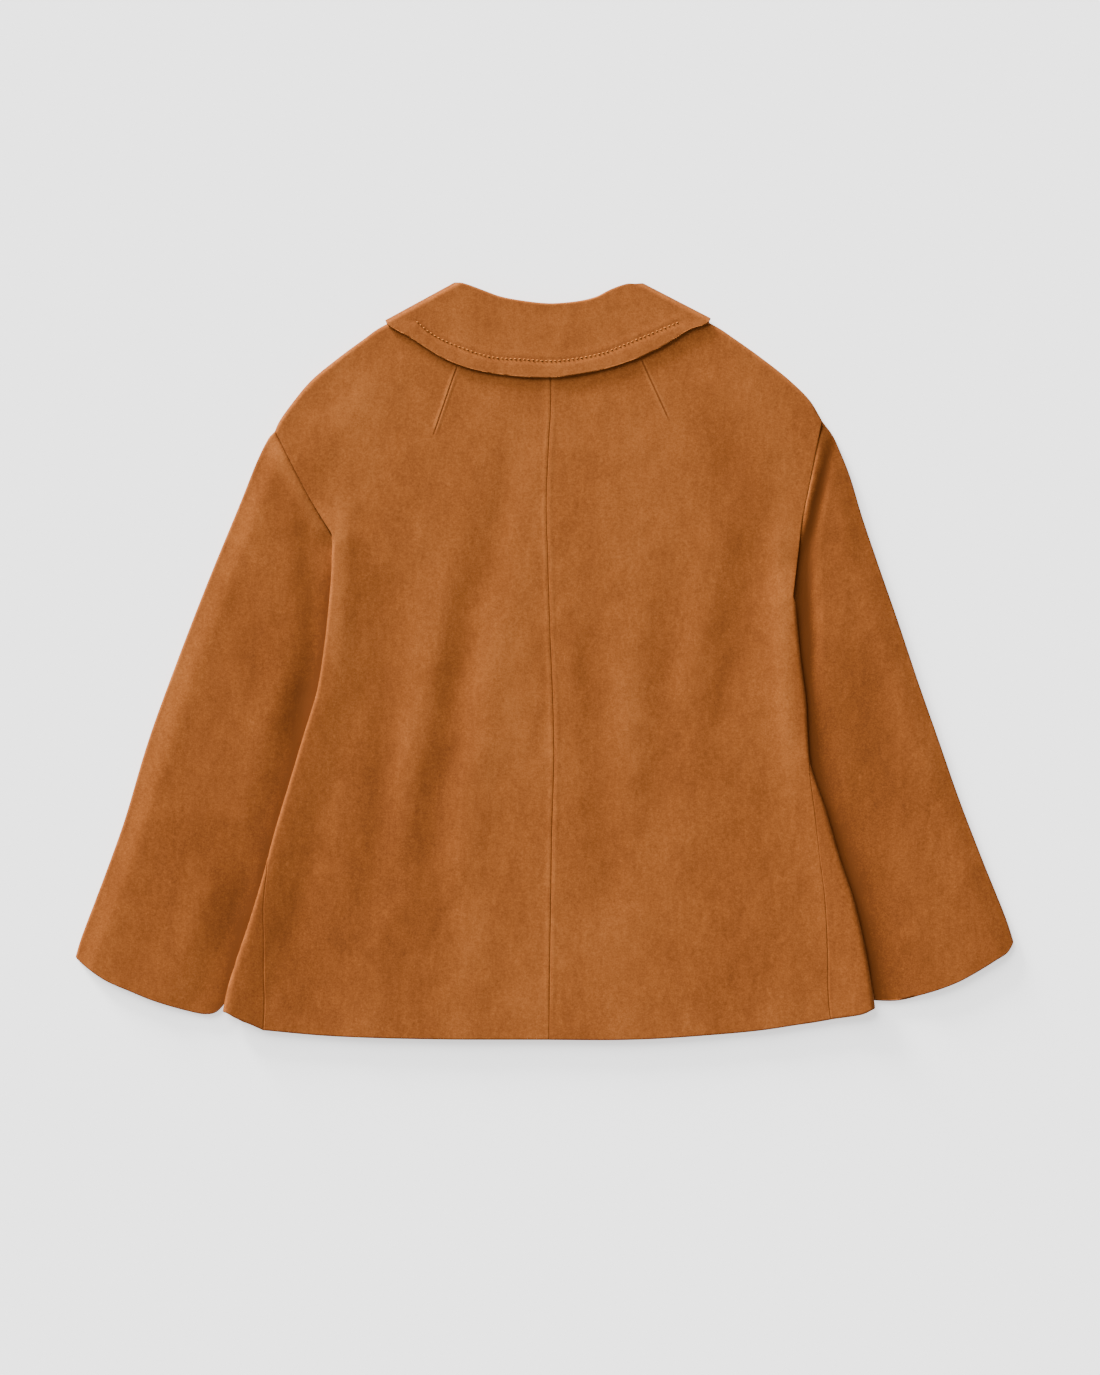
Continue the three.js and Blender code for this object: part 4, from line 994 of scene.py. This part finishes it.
def suede_material(name, tint, offset, dart=None):
    """Suede of one piece. offset moves its pattern so that pieces cut apart don't match."""
    nap = bpy.data.node_groups.get("Suede nap") or nap_group()
    material = bpy.data.materials.new(name)
    material.use_nodes = True
    tree = material.node_tree
    shader = tree.nodes["Principled BSDF"]
    shader.inputs["Sheen Weight"].default_value = 0.06
    shader.inputs["Sheen Roughness"].default_value = 0.5
    shader.inputs["Sheen Tint"].default_value = (1.0, 0.55, 0.16, 1)
    shader.inputs["Specular IOR Level"].default_value = 0.04
    place = tree.nodes.new("ShaderNodeTexCoord").outputs["Object"]
    mapping = tree.nodes.new("ShaderNodeMapping")
    mapping.inputs["Location"].default_value = offset
    tree.links.new(place, mapping.inputs["Vector"])
    look = tree.nodes.new("ShaderNodeGroup")
    look.node_tree = nap
    look.inputs["Mottling"].default_value = settings().mottling
    tree.links.new(mapping.outputs[0], look.inputs["Place"])
    # The tone attribute holds the painted light and shade as well as the nap's random unevenness
    tone = tree.nodes.new("ShaderNodeAttribute")
    tone.attribute_name = "tone"
    shade = math_node(tree, "ADD", tone.outputs["Fac"], tint)
    height = look.outputs["Height"]
    if dart:
        groove, ridge = dart_line(tree, place, dart)
        # Painted highlight along the dart's ridge, and a dark line in its sewn groove
        shade = math_node(tree, "MULTIPLY_ADD", ridge, 1.1, shade)
        shade = math_node(tree, "MULTIPLY_ADD", groove, -2.6, shade)
        raised = math_node(tree, "MULTIPLY", ridge, 1.6)
        sewn = math_node(tree, "MULTIPLY_ADD", groove, -2.6, raised)
        height = math_node(tree, "ADD", height, sewn)
    tree.links.new(shade, look.inputs["Shade"])
    tree.links.new(look.outputs["Color"], shader.inputs["Base Color"])
    tree.links.new(look.outputs["Roughness"], shader.inputs["Roughness"])
    bump = tree.nodes.new("ShaderNodeBump")
    bump.inputs["Strength"].default_value = 0.55
    bump.inputs["Distance"].default_value = 0.0004
    tree.links.new(height, bump.inputs["Height"])
    tree.links.new(bump.outputs["Normal"], shader.inputs["Normal"])
    return material


def settings():
    """The jacket's sizes and colours, which the user can change."""
    return bpy.context.scene.jacket_settings


def finish_piece(piece, dart=None):
    """Give a piece its suede, attach it to the root body and hide the part that it replaces."""
    cut = CUTS[piece.name]
    material = suede_material(piece.name.replace("_", " ").capitalize(), cut.tint, cut.offset, dart)
    piece.data.materials.append(material)
    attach(piece, "root")
    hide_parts(piece.name.replace("suede_", ""))


def cells(length):
    """Number of mesh cells along a length in millimetres."""
    return max(2, round(length * MM / settings().cell))


def body_columns(fineness=1.0):
    """Places of a panel's columns, finest at its side fold and at its inner edge."""
    return stretches((0.03, round(7 * fineness)), (0.24, cells(80 * fineness)),
                     (SHOULDER_SHARE, cells(100 * fineness)), (0.86, cells(60 * fineness)),
                     (0.95, cells(30 * fineness)), (1, round(10 * fineness)))


def body_rows(fineness=1.0):
    """Places of a panel's rows, finest at its shoulder and at its hem."""
    return stretches((0.0012, 1), (0.005, 1), (0.03, round(8 * fineness)), (0.985, cells(590 * fineness)),
                     (1, round(6 * fineness)))


def build_backs():
    """The two halves of the back."""
    seam = spline([(y, x) for x, y in CENTRE_BACK[::-1]])
    for name, side in SIDES.items():
        label = "suede_back_" + name
        relief = suede_relief(BACK_CREASES, settings().relief, CUTS[label].seed, seam=seam)
        piece = shell(label, back_surface(side), body_columns(), body_rows(), side["sign"] < 0, relief,
                      edges=(0.3, 0.3, 1))
        finish_piece(piece, side["dart"])


def build_fronts():
    """The two fronts, with a coarser mesh because they lie underneath."""
    for name, side in SIDES.items():
        label = "suede_front_" + name
        relief = suede_relief((), 0.3 * settings().relief, CUTS[label].seed)
        piece = shell(label, front_surface(side), body_columns(0.7), body_rows(0.7), side["sign"] > 0,
                      relief, edges=(0.5, 1, 1))
        finish_piece(piece)


def build_sleeves():
    """The two sleeves."""
    around = np.linspace(0, 1, 2 * cells(165) + 1)[:-1]
    along = stretches((0.985, cells(520)), (1, 6))
    for name, side in SIDES.items():
        label = "suede_sleeve_" + name
        relief = suede_relief(SLEEVE_CREASES, settings().relief, CUTS[label].seed, beside=side)
        piece = shell(label, sleeve_surface(side), around, along, side["sign"] < 0, relief, ring=True)
        finish_piece(piece)


def build_collar():
    """The collar with its topstitch."""
    surface, count = collar_surface()
    around = np.linspace(0, 1, 12 * (count - 1) + 1)
    across = stretches((0.009, 1), (0.032, 4), (0.12, 8), (0.93, 36), (1, 8))
    relief = collar_relief(settings().relief, CUTS["suede_collar"].seed)
    collar = shell("suede_collar", surface, around, across, True, relief)
    stitches = topstitch(collar)
    finish_piece(collar)


def collar_relief(strength, seed):
    """Relief and tone of the collar: a raised free edge, a channel along the stitches, unevenness, and
    painted light and shade.
    """
    line = spline(STITCH_LINE)(np.linspace(0, 1, 400))
    line = line[np.argsort(line[:, 0])]

    def relief(p, out):
        x, y = p[..., 0], p[..., 1]
        up = facing_up(out)
        below = (np.interp(x, line[:, 0], line[:, 1]) - y) * 0.97
        lifted = 1.1 * smooth((below + 4) / 14) * (np.abs(x) < 145)
        groove = np.exp(-(below / 1.5) ** 2)
        channel = -0.32 * groove + 0.22 * np.exp(-((np.abs(below) - 4) / 2.2) ** 2)
        inside = smooth((125 - np.abs(x - 2)) / 12)
        uneven = 0.3 * lattice_noise(x, y, 24, seed) + 0.12 * lattice_noise(x, y, 9, seed + 1)
        level = smooth((out[..., 2] - 0.8) / 0.15)
        height = strength * up * (lifted + inside * channel + uneven * level)
        # Patches of painted light and shade, and painted shade in the channel along the stitches
        tone = up * sum(painted_patch(x, y, row) for row in PAINTED_LIGHT_AND_SHADE) - 0.55 * up * inside * groove
        # Painted shade on the faces that tip down beside the neck
        tipped = smooth((0.95 - out[..., 2]) / 0.5)
        tone -= 1.5 * tipped * smooth((y - 285 - 0.5 * np.abs(np.abs(x) - 120)) / 10)
        tone += 0.15 * up * smooth((below - 8) / 5) + 0.12 * lattice_noise(x, y, 20, seed + 2)
        return height, tone

    return relief


def stitch_points(centre, way, height, half, thread):
    """Points of one stitch, a low bead along way, ring by ring from one end to the other."""
    aside = np.array([-way[1], way[0]])
    points = []
    for share in np.linspace(-1, 1, STITCH_RINGS):
        radius = thread / 2 * math.sqrt(max(0.04, 1 - share ** 4))
        for turn in range(STITCH_SIDES):
            angle = 2 * math.pi * turn / STITCH_SIDES
            place = centre + way * share * half + aside * radius * math.cos(angle)
            points.append((*place, height + 0.1 - 0.3 * share * share + radius * math.sin(angle)))
    return points


def stitch_faces(start):
    """Faces of one stitch, whose points begin at a number: its sides and its two ends."""
    rings = start + np.arange(STITCH_RINGS * STITCH_SIDES).reshape(STITCH_RINGS, STITCH_SIDES)
    faces = []
    for a, b in zip(rings[:-1], rings[1:]):
        faces += zip(a, np.roll(a, -1), np.roll(b, -1), b)
    return [*faces, rings[0][::-1], rings[-1]]


def topstitch(collar):
    """Small stitches along the collar's edge, each a low bead let into the suede."""
    pitch, thread = settings().stitch_pitch / MM, settings().thread / MM
    verts = np.zeros(len(collar.data.vertices) * 3)
    collar.data.vertices.foreach_get("co", verts)
    verts = verts.reshape(-1, 3) / MM
    verts = verts[verts[:, 2] > 8]
    line = spline(STITCH_LINE)
    length = np.sum(np.linalg.norm(np.diff(line(np.linspace(0, 1, 400)), axis=0), axis=1))
    number = round(length / pitch)
    points, faces = [], []
    for i in range(number):
        share = (i + 0.5) / number
        centre = line(share) + (0, MIDDLE_SHIFT)
        way = unit(line(min(1, share + 0.004)) - line(max(0, share - 0.004)))
        near = np.argsort(np.hypot(*(verts[:, :2] - centre).T))[:6]
        faces += stitch_faces(len(points))
        points += stitch_points(centre, way, verts[near, 2].max(), 0.5 * pitch * STITCH_SHARE, thread)
    piece = add_mesh("collar_topstitch", np.array(points), faces)
    material = bpy.data.materials.new("Thread")
    material.use_nodes = True
    shader = material.node_tree.nodes["Principled BSDF"]
    shader.inputs["Base Color"].default_value = settings().thread_colour
    shader.inputs["Roughness"].default_value = 0.8
    shader.inputs["Specular IOR Level"].default_value = 0.1
    piece.data.materials.append(material)
    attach(piece, "root")
    return piece


def build_stand():
    """The collar's stand."""
    surface, count = stand_surface()
    around = np.linspace(0, 1, 10 * (count - 1) + 1)
    across = stretches((0.5, 8), (0.86, 8), (0.96, 5), (1, 4))
    relief = suede_relief((), 0.0, CUTS["suede_collar_stand"].seed)
    stand = shell("suede_collar_stand", surface, around, across, True, relief)
    finish_piece(stand)


def sun(name, elevation, width, share):
    """Soft light from the upper left. share is its part of the table's brightness."""
    data = bpy.data.lights.new(name, "SUN")
    data.angle = math.radians(width)
    data.energy = share * math.pi / math.sin(math.radians(elevation))
    light = bpy.data.objects.new(name, data)
    bpy.context.scene.collection.objects.link(light)
    flat = math.cos(math.radians(elevation))
    way = Vector((LIGHT_WAY[0] * flat, LIGHT_WAY[1] * flat, -math.sin(math.radians(elevation))))
    light.rotation_euler = way.to_track_quat("-Z", "Y").to_euler()


def build_table(size, glow):
    """A pale table that gives off a little light of its own."""
    half = size / 2 / MM
    corners = [(-half, -half, 0), (half, -half, 0), (half, half, 0), (-half, half, 0)]
    table = add_mesh("table", np.array(corners), [(0, 1, 2, 3)])
    material = bpy.data.materials.new("Pale table")
    material.use_nodes = True
    tree = material.node_tree
    shader = tree.nodes["Principled BSDF"]
    shader.inputs["Specular IOR Level"].default_value = 0.0
    shader.inputs["Base Color"].default_value = (0.96, 0.96, 0.96, 1)
    shader.inputs["Emission Color"].default_value = (1, 1, 1, 1)
    shader.inputs["Emission Strength"].default_value = glow
    place = tree.nodes.new("ShaderNodeTexCoord").outputs["Object"]
    roughness = ranged(tree, noise_node(tree, place, 2, 2), 0, 1, 0.965, 0.975)
    tree.links.new(roughness, shader.inputs["Roughness"])
    table.data.materials.append(material)


def build_world(fill):
    """White light from all round."""
    world = bpy.data.worlds.new("Studio")
    world.use_nodes = True
    background = world.node_tree.nodes["Background"]
    background.inputs["Color"].default_value = (1, 1, 1, 1)
    background.inputs["Strength"].default_value = fill
    bpy.context.scene.world = world


def build_camera(height):
    """A camera straight above the jacket."""
    data = bpy.data.cameras.new("Camera")
    data.lens = 100
    data.sensor_width = 36
    camera = bpy.data.objects.new("Camera", data)
    camera.location = (*CAMERA_PLACE, height)
    bpy.context.scene.collection.objects.link(camera)
    bpy.context.scene.camera = camera


def build_stage():
    """The table, the lights and the camera."""
    studio = bpy.context.scene.studio_settings
    build_table(studio.table_size, studio.glow)
    build_world(studio.fill)
    sun("Low light", elevation=8, width=12, share=0.4 * studio.key)
    sun("Key light", elevation=33, width=46, share=0.6 * studio.key)
    build_camera(studio.camera_height)


class JacketSettings(bpy.types.PropertyGroup):
    """Sizes and colours of the jacket."""

    wall: bpy.props.FloatProperty(
        name="Wall", description="Thickness of the suede", default=0.0018, min=0.001, max=0.003,
        subtype="DISTANCE", unit="LENGTH")
    cell: bpy.props.FloatProperty(
        name="Cell", description="Size of a mesh cell", default=0.003, min=0.002, max=0.01,
        subtype="DISTANCE", unit="LENGTH")
    relief: bpy.props.FloatProperty(
        name="Relief", description="Share of the creases' full height", default=0.62, min=0, max=1.5,
        subtype="FACTOR", unit="NONE")
    mottling: bpy.props.FloatProperty(
        name="Mottling", description="Strength of the nap's light and dark patches", default=1.0,
        min=0, max=2, subtype="FACTOR", unit="NONE")
    # The ramp runs from the dark to the light nap, and its dark and light ends also colour the painted shade
    # and light
    dark: bpy.props.FloatVectorProperty(
        name="Dark nap", description="Colour of the suede where its nap is darkest",
        default=(0.1, 0.0282, 0.0062, 1), size=4, min=0, max=1, subtype="COLOR", unit="NONE")
    middle: bpy.props.FloatVectorProperty(
        name="Middle nap", description="Colour of the suede between its dark and its light",
        default=(0.191, 0.054, 0.0112, 1), size=4, min=0, max=1, subtype="COLOR", unit="NONE")
    light: bpy.props.FloatVectorProperty(
        name="Light nap", description="Colour of the suede where its nap is lightest",
        default=(0.304, 0.103, 0.0262, 1), size=4, min=0, max=1, subtype="COLOR", unit="NONE")
    stitch_pitch: bpy.props.FloatProperty(
        name="Stitch pitch", description="Distance from one stitch of the collar to the next",
        default=0.0039, subtype="DISTANCE", unit="LENGTH")
    thread: bpy.props.FloatProperty(
        name="Thread", description="Thickness of the sewing thread", default=0.0011,
        subtype="DISTANCE", unit="LENGTH")
    thread_colour: bpy.props.FloatVectorProperty(
        name="Thread colour", description="Colour of the sewing thread", default=(0.3, 0.1, 0.02, 1),
        size=4, min=0, max=1, subtype="COLOR", unit="NONE")


class StudioSettings(bpy.types.PropertyGroup):
    """Sizes and brightnesses of the stage."""

    table_size: bpy.props.FloatProperty(
        name="Table", description="Side of the table's top", default=14.0,
        subtype="DISTANCE", unit="LENGTH")
    camera_height: bpy.props.FloatProperty(
        name="Camera height", description="Height of the camera above the table", default=3.366,
        subtype="DISTANCE", unit="LENGTH")
    key: bpy.props.FloatProperty(
        name="Key light", description="Brightness of the soft light from the upper left", default=1.65,
        subtype="FACTOR", unit="NONE")
    fill: bpy.props.FloatProperty(
        name="Fill", description="Brightness of the light from all round", default=0.5,
        subtype="FACTOR", unit="NONE")
    glow: bpy.props.FloatProperty(
        name="Glow", description="Light of the table's own pale top", default=0.95,
        subtype="FACTOR", unit="NONE")


class JACKET_OT_backs(bpy.types.Operator):
    """Build the two halves of the back"""

    bl_idname = "jacket.backs"
    bl_label = "Backs"

    def execute(self, context):
        build_backs()
        return {"FINISHED"}


class JACKET_OT_fronts(bpy.types.Operator):
    """Build the two fronts"""

    bl_idname = "jacket.fronts"
    bl_label = "Fronts"

    def execute(self, context):
        build_fronts()
        return {"FINISHED"}


class JACKET_OT_sleeves(bpy.types.Operator):
    """Build the two sleeves"""

    bl_idname = "jacket.sleeves"
    bl_label = "Sleeves"

    def execute(self, context):
        build_sleeves()
        return {"FINISHED"}


class JACKET_OT_collar(bpy.types.Operator):
    """Build the collar with its stitches"""

    bl_idname = "jacket.collar"
    bl_label = "Collar"

    def execute(self, context):
        build_collar()
        return {"FINISHED"}


class JACKET_OT_stand(bpy.types.Operator):
    """Build the collar's stand"""

    bl_idname = "jacket.stand"
    bl_label = "Collar stand"

    def execute(self, context):
        build_stand()
        return {"FINISHED"}


class JACKET_OT_stage(bpy.types.Operator):
    """Build the table, the lights and the camera"""

    bl_idname = "jacket.stage"
    bl_label = "Stage"

    def execute(self, context):
        build_stage()
        return {"FINISHED"}


STEPS = (
    JACKET_OT_backs, JACKET_OT_fronts, JACKET_OT_sleeves, JACKET_OT_collar, JACKET_OT_stand,
    JACKET_OT_stage,
)


class JACKET_PT_panel(bpy.types.Panel):
    """Sizes and steps of the jacket"""

    bl_idname = "JACKET_PT_panel"
    bl_label = "Suede jacket"
    bl_space_type = "VIEW_3D"
    bl_region_type = "UI"
    bl_category = "Jacket"

    def draw(self, context):
        column = self.layout.column()
        for group, names in (
            (context.scene.jacket_settings, JacketSettings.__annotations__),
            (context.scene.studio_settings, StudioSettings.__annotations__),
        ):
            for name in names:
                column.prop(group, name)
        for step in STEPS:
            column.operator(step.bl_idname)


CLASSES = (JacketSettings, StudioSettings, *STEPS, JACKET_PT_panel)


def register():
    """Register the classes and both groups of settings."""
    for cls in CLASSES:
        bpy.utils.register_class(cls)
    bpy.types.Scene.jacket_settings = bpy.props.PointerProperty(type=JacketSettings)
    bpy.types.Scene.studio_settings = bpy.props.PointerProperty(type=StudioSettings)


def unregister():
    """Take away what register has added."""
    del bpy.types.Scene.studio_settings
    del bpy.types.Scene.jacket_settings
    for cls in reversed(CLASSES):
        bpy.utils.unregister_class(cls)


def main():
    """Build the jacket and the stage."""
    register()
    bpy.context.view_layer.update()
    bpy.ops.jacket.backs()
    bpy.ops.jacket.fronts()
    bpy.ops.jacket.sleeves()
    bpy.ops.jacket.collar()
    bpy.ops.jacket.stand()
    bpy.ops.jacket.stage()


if __name__ == "__main__":
    main()
